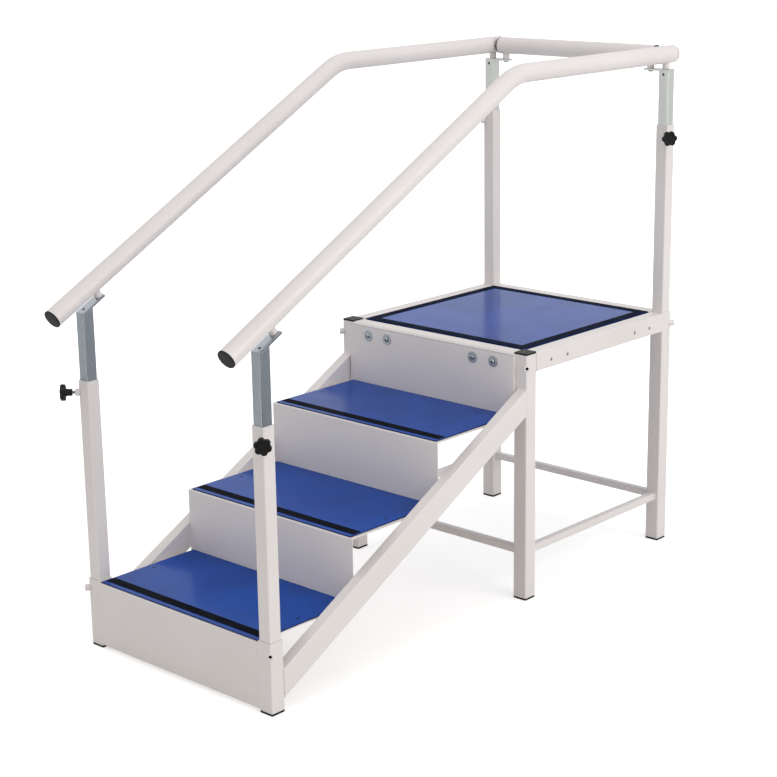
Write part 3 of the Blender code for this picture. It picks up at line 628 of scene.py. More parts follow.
def extend(bm: Mesh, edges: Sequence[bmesh.types.BMEdge],
           way: Vector) -> tuple[list[bmesh.types.BMEdge], set[bmesh.types.BMVert]]:
    """Extrude a loop of edges.

    Args:
        bm: The mesh.
        edges: The loop.
        way: How far it goes.

    Returns:
        The new loop and its vertices.
    """
    grown = bmesh.ops.extrude_edge_only(bm, edges=list(edges))
    fresh = set(moved(bm, grown, way))
    return [item for item in grown["geom"] if isinstance(item, bmesh.types.BMEdge)
            and fresh.issuperset(item.verts)], fresh


def close_up(bm: Mesh) -> Mesh:
    """Fill the holes of a shell and turn its faces outwards.

    Args:
        bm: The shell.

    Returns:
        The same shell.
    """
    bmesh.ops.holes_fill(bm, edges=[edge for edge in bm.edges if edge.is_boundary], sides=0)
    bmesh.ops.recalc_face_normals(bm, faces=bm.faces[:])
    return bm


def rounded_face(bm: Mesh, width: float, depth: float, radius: float) -> bmesh.types.BMFace:
    """Add a rectangle with round corners at Z = 0.

    Args:
        bm: The mesh that it is added to.
        width: Size along X.
        depth: Size along Y.
        radius: Corner radius.

    Returns:
        The face.
    """
    square = bmesh.ops.create_grid(bm, x_segments=1, y_segments=1, size=0.5)["verts"]
    bmesh.ops.scale(bm, vec=(width, depth, 1.0), verts=square)
    bmesh.ops.bevel(bm, geom=square, offset=radius, affect="VERTICES", segments=CORNER_STEPS,
                    profile=0.5, material=-1)
    return next(iter(bm.faces))


def ease_edges(bm: Mesh, offset: float, segments: int = 2) -> None:
    """Round every sharp edge of a mesh.

    Args:
        bm: The mesh.
        offset: Width that is taken off beside each edge.
        segments: Edges across the rounding.
    """
    bmesh.ops.recalc_face_normals(bm, faces=bm.faces[:])
    sharp = [edge for edge in bm.edges
             if edge.is_manifold and edge.calc_face_angle(0.0) > SHARP_ANGLE]
    bmesh.ops.bevel(bm, geom=sharp, offset=offset, affect="EDGES", segments=segments, profile=0.5,
                    clamp_overlap=True, material=-1)


def turned(profile: Profile, steps: int = 48, ring: bool = False) -> Mesh:
    """A turned shell.

    Args:
        profile: (radius, height) points.
        steps: Faces round the axis.
        ring: Whether the last point joins the first, so that the shell is a ring.

    Returns:
        The shell.
    """
    bm = bmesh.new()
    points = [bm.verts.new((radius, 0.0, height)) for radius, height in profile]
    following = points[1:] + points[:1] if ring else points[1:]
    edges = [bm.edges.new(pair) for pair in zip(points, following)]
    bmesh.ops.spin(bm, geom=points + edges, cent=(0, 0, 0), axis=UP, angle=2 * math.pi, steps=steps,
                   use_merge=True)
    bmesh.ops.remove_doubles(bm, verts=bm.verts[:], dist=MERGE_DISTANCE)
    bmesh.ops.recalc_face_normals(bm, faces=bm.faces[:])
    return bm


def rod(radius: float, length: float, edge: float, steps: int = 32) -> Mesh:
    """A round bar with eased ends.

    Args:
        radius: Radius of the bar.
        length: Size along Z.
        edge: Rounding of the ends.
        steps: Faces round the bar.

    Returns:
        The shell.
    """
    return turned([(0.0, length), (radius - edge, length), (radius, length - edge), (radius, edge),
                   (radius - edge, 0.0), (0.0, 0.0)], steps)


def washer(inner: float, outer: float, height: float, edge: float) -> Mesh:
    """A flat ring with eased edges.

    Args:
        inner: Radius of the hole.
        outer: Outer radius.
        height: Thickness.
        edge: Rounding of the edges.

    Returns:
        The shell.
    """
    return turned([(inner, edge), (inner + edge, 0.0), (outer - edge, 0.0), (outer, edge),
                   (outer, height - edge), (outer - edge, height), (inner + edge, height),
                   (inner, height - edge)], ring=True)


def thread_steps(root: float, crest: float, pitch: float, turns: int) -> list[tuple[float, float]]:
    """Points of a thread, drawn as rings, from Z = 0 upwards.

    Args:
        root: Radius between the ridges.
        crest: Radius of the ridges.
        pitch: Height of a turn.
        turns: Number of turns.

    Returns:
        (radius, height) pairs that start and end at the root.
    """
    points = [(root, 0.0)]
    for turn in range(turns):
        points += [(crest, (turn + 0.5) * pitch), (root, (turn + 1) * pitch)]
    return points


def fillet_curve(size: float) -> list[tuple[float, float]]:
    """Points of a hollow weld fillet.

    Args:
        size: Width and height of the fillet.

    Returns:
        (distance from the tube, height) pairs, from the outer toe upwards.
    """
    angles = [math.pi / 2 * step / FILLET_STEPS for step in range(FILLET_STEPS + 1)]
    return [(size * (1 - math.sin(angle)), size * (1 - math.cos(angle))) for angle in angles]


def square_weld(width: float, depth: float, radius: float, size: float) -> Mesh:
    """The weld round the end of a square tube that stands at Z = 0.

    Args:
        width: Outer size of the tube along X.
        depth: Outer size of the tube along Y.
        radius: Its corner radius.
        size: Width and height of the weld.

    Returns:
        The shell.
    """
    bm = bmesh.new()
    face = rounded_face(bm, width + 2 * size, depth + 2 * size, radius + size)
    moved(bm, bmesh.ops.extrude_face_region(bm, geom=[face]), UP * WELD_FOOT)
    bmesh.ops.recalc_face_normals(bm, faces=bm.faces[:])
    top = max(bm.faces, key=lambda item: item.calc_center_median().z)
    curve = fillet_curve(size)
    for (outside, low), (inside, high) in zip(curve, curve[1:]):
        bmesh.ops.inset_region(bm, faces=[top], thickness=outside - inside, depth=high - low,
                               use_even_offset=True, use_boundary=True)
    return bm


def round_weld(radius: float, size: float) -> Mesh:
    """The weld round the end of a round bar that stands at Z = 0.

    Args:
        radius: Radius of the bar.
        size: Width and height of the weld.

    Returns:
        The shell.
    """
    curve = [(radius + outside, height) for outside, height in reversed(fillet_curve(size))]
    foot = -2 * size
    return turned([(0.0, size)] + curve + [(radius + size, foot), (0.0, foot)])


def socket_head(profile: Profile, across: float, depth: float, steps: int = 24) -> Mesh:
    """A turned screw head with a hexagonal socket in its upper face.

    Args:
        profile: (radius, height) points from the axis below, outwards and up to the socket's rim.
        across: Width across the socket's flats.
        depth: Depth of the socket.
        steps: Faces round the axis, a multiple of six.

    Returns:
        The shell.
    """
    bm = turned(profile, steps)
    ring = [edge for edge in bm.edges if edge.is_boundary]
    hexagon = bmesh.ops.create_circle(bm, segments=6, radius=across / math.sqrt(3))["verts"]
    bmesh.ops.translate(bm, vec=UP * profile[-1][1], verts=hexagon)
    sides = list({edge for vert in hexagon for edge in vert.link_edges})
    bmesh.ops.subdivide_edges(bm, edges=sides, cuts=steps // 6 - 1)
    sides = [edge for edge in bm.edges if edge.is_wire]
    bmesh.ops.bridge_loops(bm, edges=ring + sides)
    extend(bm, sides, -UP * depth)
    return close_up(bm)


def mark_core_and_shade(bm: Mesh) -> Mesh:
    """Mark the upright faces of a board, where its dark core shows and painted shade darkens its edges.

    Args:
        bm: The board.

    Returns:
        The same board.
    """
    layer = bm.faces.layers.float.new(CORE_AND_SHADE)
    for face in bm.faces:
        face[layer] = float(abs(face.normal.z) < UPRIGHT)
    return bm


def merged_copy(node: str) -> Mesh:
    """A copy of a CAD node's mesh with its faces joined.

    Args:
        node: Name of the node.

    Returns:
        The shell.
    """
    bm = bmesh.new()
    bm.from_mesh(bpy.data.objects[node].data)
    bmesh.ops.remove_doubles(bm, verts=bm.verts[:], dist=MERGE_DISTANCE)
    return bm


def bevelled_copy(node: str, edge: float) -> Mesh:
    """A merged copy of a CAD node's mesh with eased edges.

    Args:
        node: Name of the node.
        edge: Width that is taken off beside each sharp edge.

    Returns:
        The shell.
    """
    bm = merged_copy(node)
    bmesh.ops.dissolve_limit(bm, angle_limit=FLAT_ANGLE, verts=bm.verts[:], edges=bm.edges[:])
    ease_edges(bm, edge)
    return bm


class Piece:
    """A mesh in the making: closed shells are added to it, each moved to its place."""

    def __init__(self, name: str, shell: Mesh | None = None) -> None:
        """Start a piece.

        Args:
            name: Name of the finished object.
            shell: Its first shell, if that is in place already.
        """
        self.name = name
        self.bm = shell or bmesh.new()

    def add(self, shell: Mesh, matrix: Matrix) -> "Piece":
        """Add a shell and free it.

        Args:
            shell: The shell.
            matrix: Where it goes.

        Returns:
            The piece itself.
        """
        bmesh.ops.transform(shell, matrix=matrix, verts=shell.verts[:])
        mesh = bpy.data.meshes.new("shell")
        shell.to_mesh(mesh)
        shell.free()
        self.bm.from_mesh(mesh)
        bpy.data.meshes.remove(mesh)
        return self

    def finish(self, look: Look, stands_for: str | None = None, body: str = Body.FRAME.value) -> None:
        """Make the object and hand it to the frame.

        Args:
            look: Its finish and slot.
            stands_for: The CAD node that it replaces, if it does.
            body: The body that carries it.
        """
        mesh = bpy.data.meshes.new(self.name)
        self.bm.to_mesh(mesh)
        self.bm.free()
        mesh.shade_smooth()
        mesh.set_sharp_from_angle(angle=SHARP_ANGLE)
        mesh.materials.append(look.material)
        obj = bpy.data.objects.new(self.name, mesh)
        bpy.context.scene.collection.objects.link(obj)
        # Large flat faces keep their own direction, so that only the rounded edges shade softly
        obj.modifiers.new("weighted_normals", "WEIGHTED_NORMAL").keep_sharp = True
        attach(obj, body)
        if stands_for:
            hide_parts(stands_for)
        LOG.info("%s: %d faces on %s", self.name, len(mesh.polygons), body)


# The stairs' sub-assemblies


@dataclass
class BossedTube:
    """An upright square tube with a round threaded boss welded over one of its corners."""

    size: float
    rim: float
    boss_radius: float
    boss_hole: float
    boss_length: float
    boss_edge: float
    wall: float = 0.002
    corner: float = 0.003
    boss_sunk: float = 0.004
    boss_weld: float = 0.0016

    def tube(self, length: float) -> Mesh:
        """The tube, with open ends and eased rims.

        Args:
            length: Size along Z.

        Returns:
            The shell.
        """
        bm = bmesh.new()
        face = rounded_face(bm, self.size, self.size, self.corner)
        ring = bmesh.ops.inset_region(bm, faces=[face], thickness=self.wall, use_even_offset=True,
                                      use_boundary=True)["faces"]
        bmesh.ops.delete(bm, geom=[face], context="FACES_ONLY")
        moved(bm, bmesh.ops.extrude_face_region(bm, geom=ring), UP * length)
        ease_edges(bm, self.rim)
        return bm

    def build(self, look: Look, node: str, foot: str, height: float, direction: Vector) -> Vector:
        """Make the tube in a CAD node's place.

        Args:
            look: Its finish and slot.
            node: Name of the node.
            foot: Node of the foot that it stands over.
            height: Height of the boss's axis.
            direction: Where the boss points.

        Returns:
            The middle of the boss's outer face.
        """
        low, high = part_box(node)
        centre = middle(foot)
        axis = Vector((centre.x, centre.y, height))
        # From the tube's axis to its rounded corner
        reach = self.size / math.sqrt(2) - self.corner * (math.sqrt(2) - 1)
        sleeve = washer(self.boss_hole, self.boss_radius, self.boss_length + self.boss_sunk,
                        self.boss_edge)
        fillet = round_weld(self.boss_radius, self.boss_weld)
        for vert in fillet.verts:
            vert.co.z -= abs(vert.co.x)
        piece = Piece(f"{node}_tube")
        piece.add(self.tube(high.z - low.z), at(centre.x, centre.y, low.z))
        piece.add(sleeve, aimed(axis + direction * (reach - self.boss_sunk), direction))
        piece.add(fillet, aimed(axis + direction * reach, direction))
        piece.finish(look, node)
        return axis + direction * (reach + self.boss_length)


@dataclass
class Legs:
    """Six legs with feet, socket bosses and set screws, and the two caps of the free legs."""

    palette: Palette
    sleeve_drop: float = 0.025
    platform_drop: float = 0.0332
    screw_radius: float = 0.0036
    screw_length: float = 0.006
    screw_socket: float = 0.004
    screw_rim: float = 0.0004
    screw_sunk: float = 0.0015
    plastic_edge: float = 0.0008

    def build(self) -> None:
        """Make the legs and what is on them."""
        tube = BossedTube(size=0.040, rim=0.0005, boss_radius=0.008, boss_hole=0.0037,
                          boss_length=0.0106, boss_edge=0.0009)
        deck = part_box("platform_board")[1].z
        for row, forward in (("front_leg", -1), ("platform_front_leg", -1), ("platform_rear_leg", 1)):
            for side_name, side in SIDES:
                node = f"{row}_{side_name}"
                foot = node.replace("leg", "foot")
                height = deck - self.platform_drop
                if row == "front_leg":
                    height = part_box(node)[1].z - self.sleeve_drop
                direction = Vector((forward, side, 0)).normalized()
                face = tube.build(self.palette.coat, node, foot, height, direction)
                self.add_screw(node, face, direction)
                Piece(f"{foot}_pad", bevelled_copy(foot, self.plastic_edge)).finish(
                    self.palette.plastic, foot)
        for side_name, _ in SIDES:
            node = f"leg_cap_{side_name}"
            Piece(f"{node}_lid", bevelled_copy(node, self.plastic_edge)).finish(
                self.palette.plastic, node)

    def add_screw(self, node: str, face: Vector, direction: Vector) -> None:
        """Add the set screw in a boss.

        Args:
            node: Name of the leg's node.
            face: The middle of the boss's outer face.
            direction: Where the boss points.
        """
        rim = self.screw_socket / math.sqrt(3) + self.screw_rim
        screw = socket_head([(0.0, 0.0), (self.screw_radius, 0.0),
                             (self.screw_radius, self.screw_length), (rim, self.screw_length)],
                            self.screw_socket, self.screw_length / 2)
        seat = face - direction * (self.screw_length + self.screw_sunk)
        Piece(f"{node}_set_screw").add(screw, aimed(seat, direction)).finish(self.palette.blackened)


@dataclass
class Platform:
    """Beams and stretchers of the platform with their welds, its board and border."""

    palette: Palette
    edge: float = 0.0005
    beam_width: float = 0.040
    beam_depth: float = 0.050
    tube_corner: float = 0.003
    stretcher: float = 0.020
    weld: float = 0.0025
    thin_weld: float = 0.0020
    gap: float = 0.0003
    thread_sunk: float = 0.0004
    thread_sleeve: float = 0.0039
    thread_radius: float = 0.0036
    thread_depth: float = 0.0005
    thread_pitch: float = 0.00125
    thread_length: float = 0.0078
    thread_sides: int = 24

    def build(self) -> None:
        """Make the platform."""
        for node in ("side_beam_left", "side_beam_right", "cross_beam_front", "cross_beam_rear",
                     "stretcher_left", "stretcher_right", "stretcher_front", "stretcher_rear"):
            Piece(f"{node}_tube", bevelled_copy(node, self.edge)).finish(self.palette.coat, node)
        # The CAD board has rounded edges, and the land beside its groove is too narrow for a bevel
        Piece("platform_deck", mark_core_and_shade(merged_copy("platform_board"))).finish(
            self.palette.laminate, "platform_board")
        self.palette.border.dress("platform_border")
        self.add_welds()
        self.add_threads()

    def add_threads(self) -> None:
        """Add the closed threaded inserts behind the module holes of the side and rear beams, near
        black as painted shade in the holes.
        """
        turns = int(self.thread_length / self.thread_pitch)
        length = turns * self.thread_pitch
        thread = thread_steps(self.thread_radius, self.thread_radius - self.thread_depth,
                              self.thread_pitch, turns)
        profile = [(0.0, -self.thread_depth), (self.thread_sleeve, -self.thread_depth),
                   (self.thread_sleeve, length), *reversed(thread), (0.0, 0.0)]
        inward = self.thread_sunk + length
        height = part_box("platform_board")[1].z - HOLE_DROP
        board_x = middle("platform_board").x
        for name, node, out in (("left", "side_beam_left", ACROSS),
                                ("right", "side_beam_right", -ACROSS),
                                ("rear", "cross_beam_rear", ALONG)):
            beam = middle(node)
            row = Vector((beam.x, 0.0, height)) if out.x else Vector((board_x, beam.y, height))
            run = ACROSS if out.x else ALONG
            piece = Piece(f"module_threads_{name}")
            for spot in HOLE_SPOTS:
                seat = row + run * spot + out * (self.beam_width / 2 - inward)
                piece.add(turned(profile, self.thread_sides), aimed(seat, out))
            piece.finish(self.palette.insert_painted_shade)

    def add_welds(self) -> None:
        """Add the welds between the beams or stretchers and the legs."""
        piece = Piece("platform_welds")
        for place, foot, beam, axis in (
                ("left", "platform_front_foot_left", "side_beam", 0),
                ("right", "platform_front_foot_right", "side_beam", 0),
                ("front", "platform_front_foot_left", "cross_beam", 1),
                ("rear", "platform_rear_foot_left", "cross_beam", 1)):
            for kind in (beam, "stretcher"):
                low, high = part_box(f"{kind}_{place}")
                for end, way in ((low[axis] - self.gap, 1), (high[axis] + self.gap, -1)):
                    spot = middle(foot)
                    spot[axis], spot.z = end, low.z
                    self.weld_end(piece, spot, (ALONG, ACROSS)[axis] * way, kind == "stretcher")
        piece.finish(self.palette.coat)

    def weld_end(self, piece: Piece, spot: Vector, way: Vector, thin: bool) -> None:
        """Add the weld at one end of a beam or of a stretcher.

        A beam is as wide as the legs and level with their tops, so its weld shows only below it.

        Args:
            piece: The piece that holds the welds.
            spot: Point below the middle of the end.
            way: Where the beam runs from there.
            thin: Whether it is a stretcher.
        """
        size = self.thin_weld if thin else self.weld
        width = self.stretcher if thin else self.beam_width - 2 * (size + self.gap)
        depth = self.stretcher if thin else self.beam_depth - size - self.gap
        piece.add(square_weld(width, depth, self.tube_corner, size),
                  aimed(spot + UP * depth / 2, way))


@dataclass
class Flight:
    """The three steps: stringers, folded sheets, boards, strips and board screws."""

    palette: Palette
    count: int = 3
    edge: float = 0.0004
    board_edge: float = 0.0005
    stringer_width: float = 0.030
    stringer_corner: float = 0.003
    stringer_depth: float = 0.060
    weld: float = 0.0025
    gap: float = 0.0003
    screw_setback: float = 0.1455
    screw_inset: float = 0.023
    screw_radius: float = 0.0038
    screw_height: float = 0.0025
    screw_brim: float = 0.0003
    screw_shank: float = 0.0022
    screw_socket: float = 0.003
    screw_rim: float = 0.0005
    screw_socket_depth: float = 0.00175
    screw_sunk: float = 0.0003
    seam_sunk: float = 0.0003
    seam_overlap: float = 0.0006
    seam_width: float = 0.0026
    seam_depth: float = 0.0018
    seam_margin: float = 0.001

    @property
    def slope(self) -> float:
        """Angle of the stairs.

        Returns:
            The angle of the line over the boards' front edges.
        """
        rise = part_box(f"tread_board_{self.count}")[1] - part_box("tread_board_1")[1]
        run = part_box(f"tread_board_{self.count}")[0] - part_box("tread_board_1")[0]
        return math.atan2(rise.z, run.x)

    def build(self) -> None:
        """Make the steps."""
        for side_name, side in SIDES:
            node = f"stringer_{side_name}"
            piece = Piece(f"{node}_tube", bevelled_copy(node, self.edge))
            self.add_welds(piece, node, side)
            piece.finish(self.palette.coat, node)
        for step in range(1, self.count + 1):
            sheet, board = f"step_sheet_{step}", f"tread_board_{step}"
            Piece(f"{sheet}_fold", bevelled_copy(sheet, self.edge)).finish(self.palette.coat, sheet)
            Piece(f"{board}_panel", mark_core_and_shade(bevelled_copy(board, self.board_edge))).finish(
                self.palette.laminate, board)
            self.palette.grip.dress(f"tread_strip_{step}")
            self.add_screws(board)
        self.add_seams()

    def add_seams(self) -> None:
        """Add the filled and coated seams between the tall front panel and the front legs."""
        low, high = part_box("step_sheet_1")
        size = Vector((self.seam_depth - self.seam_sunk, self.seam_overlap + self.seam_width,
                       high.z - low.z - 2 * self.seam_margin))
        centre_y = high.y + (self.seam_width - self.seam_overlap) / 2
        piece = Piece("front_panel_seams")
        for _, side in SIDES:
            seam = bmesh.new()
            bmesh.ops.create_cube(seam, size=1.0)
            bmesh.ops.scale(seam, vec=size, verts=seam.verts[:])
            ease_edges(seam, self.seam_sunk / 2, 3)
            piece.add(seam, at(low.x + (self.seam_sunk + self.seam_depth) / 2, side * centre_y,
                               (low.z + high.z) / 2))
        piece.finish(self.palette.coat)

    def add_welds(self, piece: Piece, node: str, side: int) -> None:
        """Add the welds at both ends of a stringer, behind its flush outer face.

        Args:
            piece: The stringer's piece.
            node: Name of its node.
            side: 1 on the left and -1 on the right.
        """
        low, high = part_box(node)
        depth = self.stringer_depth / math.cos(self.slope)
        outer = max(abs(low.y), abs(high.y))
        width = self.stringer_width - self.weld - self.gap
        y = side * (outer - self.stringer_width + width / 2)
        for x, way, z in ((low.x - self.gap, ALONG, low.z + depth / 2),
                          (high.x + self.gap, -ALONG, high.z - depth / 2)):
            piece.add(square_weld(width, depth, self.stringer_corner, self.weld),
                      at(x, y, z) @ slanted(self.slope) @ aimed(Vector(), way))

    def add_screws(self, board: str) -> None:
        """Add the two countersunk screws of a board.

        Args:
            board: Name of the board's node.
        """
        low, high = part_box(board)
        rim = self.screw_socket / math.sqrt(3) + self.screw_rim
        piece = Piece(f"{board}_screws")
        for _, side in SIDES:
            screw = socket_head([(0.0, 0.0), (self.screw_shank, 0.0),
                                 (self.screw_radius, self.screw_height - self.screw_brim),
                                 (self.screw_radius, self.screw_height), (rim, self.screw_height)],
                                self.screw_socket, self.screw_socket_depth)
            piece.add(screw, at(low.x + self.screw_setback, side * (high.y - self.screw_inset),
                                high.z - self.screw_height - self.screw_sunk))
        piece.finish(self.palette.blued)


@dataclass
class ButtonBolt:
    """A button-head bolt with a hexagonal socket, along local Z with its seat at Z = 0."""

    radius: float = 0.0065
    height: float = 0.0045
    crown: float = 0.0030
    brim_edge: float = 0.0002
    socket: float = 0.005
    socket_rim: float = 0.0006
    socket_depth: float = 0.0026
    shank: float = 0.0039
    length: float = 0.010
    curve_steps: int = 6
    sides: int = 30

    def shell(self) -> Mesh:
        """Make the bolt.

        Returns:
            The shell.
        """
        rim = self.socket / math.sqrt(3) + self.socket_rim
        brim = self.height - self.crown
        profile = [(0.0, -self.length), (self.shank, -self.length), (self.shank, 0.0),
                   (self.radius - self.brim_edge, 0.0), (self.radius, self.brim_edge)]
        for step in range(self.curve_steps + 1):
            angle = math.pi / 2 * step / self.curve_steps
            profile.append((rim + (self.radius - rim) * math.cos(angle),
                            brim + self.crown * math.sin(angle)))
        return socket_head(profile, self.socket, self.socket_depth, self.sides)


@dataclass
class RiserPanel:
    """The panel above the last tread, with the four bolts and washers that hold it."""

    palette: Palette
    edge: float = 0.0003
    washer_hole: float = 0.0043
    washer_radius: float = 0.0145
    washer_height: float = 0.0018
    washer_edge: float = 0.0004
    fold: float = 0.0022
    groove: float = 0.0012

    def build(self) -> None:
        """Make the panel and its bolts."""
        panel = bevelled_copy("back_panel", self.edge)
        self.cut_groove(panel)
        Piece("riser_panel", panel).finish(self.palette.coat, "back_panel")
        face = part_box("back_panel")[0].x
        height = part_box("platform_board")[1].z - HOLE_DROP
        for number, y in enumerate(HOLE_SPOTS, 1):
            ring = washer(self.washer_hole, self.washer_radius, self.washer_height, self.washer_edge)
            for name, shell, x in ((f"panel_washer_{number}", ring, face),
                                   (f"panel_bolt_{number}", ButtonBolt().shell(),
                                    face - self.washer_height)):
                Piece(name).add(shell, aimed(Vector((x, y, height)), -ALONG)).finish(
                    self.palette.plated)

    def cut_groove(self, bm: Mesh) -> None:
        """Cut the fine joint between the panel's face and its upper fold.

        Args:
            bm: The panel.
        """
        low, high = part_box("back_panel")
        top = high.z - self.fold
        for height in (top, top - self.groove):
            bmesh.ops.bisect_plane(bm, geom=bm.verts[:] + bm.edges[:] + bm.faces[:],
                                   plane_co=UP * height, plane_no=UP)
        bm.faces.ensure_lookup_table()
        faces = [face for face in bm.faces
                 if face.normal.x < -FACING and face.calc_center_median().x < low.x + self.groove
                 and top - self.groove < face.calc_center_median().z < top]
        grown = bmesh.ops.extrude_face_region(bm, geom=faces)
        bmesh.ops.delete(bm, geom=faces, context="FACES_ONLY")
        moved(bm, grown, ALONG * self.groove)


@dataclass
class ClampKnob:
    """A lobed plastic knob with its hub, along local Z with the hub's face at Z = 0."""

    radius: float = 0.020
    thickness: float = 0.0122
    lobes: int = 6
    lobe_points: int = 14
    scallop: float = 0.0034
    dip_power: float = 1.9
    fade: float = 0.009
    edge: float = 0.0025
    edge_steps: int = 5
    hub_radius: float = 0.0085
    hub_length: float = 0.0157
    hub_edge: float = 0.0008
    hub_flare: float = 0.0025
    dish_radius: float = 0.012
    dish: float = 0.0009
    dish_lip: float = 0.00036
    dish_lead: float = 0.0012
    dish_run: float = 0.0015
    plug_radius: float = 0.0065
    plug_crown: float = 0.00455
    plug_rise: float = 0.0006

    def rim(self, angle: float, inset: float) -> float:
        """Radius of the lobed outline, whose lobes fade out inwards.

        Args:
            angle: Angle round the axis.
            inset: Distance inwards from the outline.

        Returns:
            The radius there.
        """
        share = (1 - math.cos(self.lobes * angle)) / 2
        depth = self.scallop * share ** self.dip_power * max(0.0, 1 - inset / self.fade)
        return self.radius - inset - depth

    def rings(self) -> list[tuple[float, float]]:
        """Rings of the body, from the middle of its lower face upwards.

        Returns:
            (inset, height) of each ring.
        """
        quarter = [math.pi / 2 * step / self.edge_steps for step in range(self.edge_steps + 1)]
        lower = [(self.edge * (1 - math.sin(angle)), self.edge * (1 - math.cos(angle)))
                 for angle in quarter]
        upper = [(inset, self.thickness - height) for inset, height in reversed(lower)]
        dish = self.radius - self.dish_radius
        return [(self.fade, 0.0), *lower, *upper, (dish - self.dish_lead, self.thickness),
                (dish, self.thickness - self.dish_lip),
                (dish + self.dish_run, self.thickness - self.dish)]

    def body(self) -> Mesh:
        """The lobed body, from Z = 0.

        Returns:
            The shell.
        """
        bm = bmesh.new()
        ring = bmesh.ops.create_circle(bm, segments=self.lobes * self.lobe_points, radius=1.0)["verts"]
        directions = [vert.co.to_2d() for vert in ring]
        edges = bm.edges[:]
        for number, (inset, height) in enumerate(self.rings()):
            if number:
                edges, fresh = extend(bm, edges, Vector())
                ring = [next(edge.other_vert(vert) for edge in vert.link_edges
                             if edge.other_vert(vert) in fresh) for vert in ring]
            for vert, way in zip(ring, directions):
                reach = self.rim(math.atan2(way.x, way.y), inset)
                vert.co = (way.x * reach, way.y * reach, height)
        return close_up(bm)

    def add_to(self, piece: Piece, matrix: Matrix) -> None:
        """Add the knob's shells.

        Args:
            piece: The piece.
            matrix: Where the knob goes.
        """
        piece.add(self.body(), matrix @ at(0, 0, self.hub_length))
        sunk = self.hub_length + self.edge / 2
        wide = self.hub_radius + self.hub_flare
        piece.add(turned([(0.0, sunk), (wide, sunk), (wide, self.hub_length),
                          (self.hub_radius + self.hub_flare / 3, self.hub_length - self.hub_flare / 2),
                          (self.hub_radius, self.hub_length - 2 * self.hub_flare),
                          (self.hub_radius, self.hub_edge), (self.hub_radius - self.hub_edge, 0.0),
                          (0.0, 0.0)]), matrix)
        top = self.hub_length + self.thickness - self.dish + self.plug_rise
        foot = top - 3 * self.plug_rise
        piece.add(turned([(0.0, top), (self.plug_crown, top - self.plug_rise / 6),
                          (self.plug_radius - self.plug_rise / 2, top - self.plug_rise / 2),
                          (self.plug_radius, top - self.plug_rise), (self.plug_radius, foot),
                          (0.0, foot)]), matrix)


@dataclass
class Posts:
    """Four outer posts, each with a clamp boss, a threaded stud and a knob."""

    palette: Palette
    pivots: dict[str, Vector]
    knob_turns: dict[str, float] = field(default_factory=lambda: {
        "front_left": 0.0, "front_right": 12.0, "rear_left": 0.0, "rear_right": -25.0})
    clamp_drop: float = 0.030
    stud_radius: float = 0.0037
    stud_reach: float = 0.0193
    stud_grip: float = 0.011
    thread_pitch: float = 0.00125
    thread_depth: float = 0.0006
    thread_sides: int = 24

    def build(self) -> None:
        """Make the posts and their clamps."""
        tube = BossedTube(size=0.035, rim=0.0006, boss_radius=0.009, boss_hole=0.0041,
                          boss_length=0.0098, boss_edge=0.0028)
        for end, foot in POST_FEET.items():
            for side_name, side in SIDES:
                corner = f"{end}_{side_name}"
                node = f"outer_post_{corner}"
                direction = Vector((-1, side, 0)).normalized()
                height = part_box(node)[1].z - self.clamp_drop
                tube.build(self.palette.coat, node, f"{foot}_{side_name}", height, direction)
                self.add_clamp(corner, aimed(self.pivots[corner], direction))

    def add_clamp(self, corner: str, place: Matrix) -> None:
        """Add a threaded stud and its knob.

        Args:
            corner: Name of the post.
            place: Matrix with Z = 0 at the hub's face and Z outwards.
        """
        turns = int((self.stud_reach + self.stud_grip) / self.thread_pitch)
        thread = thread_steps(self.stud_radius - self.thread_depth, self.stud_radius,
                              self.thread_pitch, turns)
        profile = [(0.0, 0.0), *thread, (0.0, turns * self.thread_pitch)]
        node = f"clamp_stud_{corner}"
        Piece(f"{node}_thread").add(
            turned(profile, self.thread_sides), place @ at(0, 0, -self.stud_reach)).finish(
            self.palette.plated, node, f"stud_{corner}")
        node = f"clamp_knob_{corner}"
        piece = Piece(f"{node}_star")
        turn = Matrix.Rotation(math.radians(self.knob_turns[corner]), 4, "Z")
        ClampKnob().add_to(piece, place @ turn)
        piece.finish(self.palette.plastic, node, f"knob_{corner}")


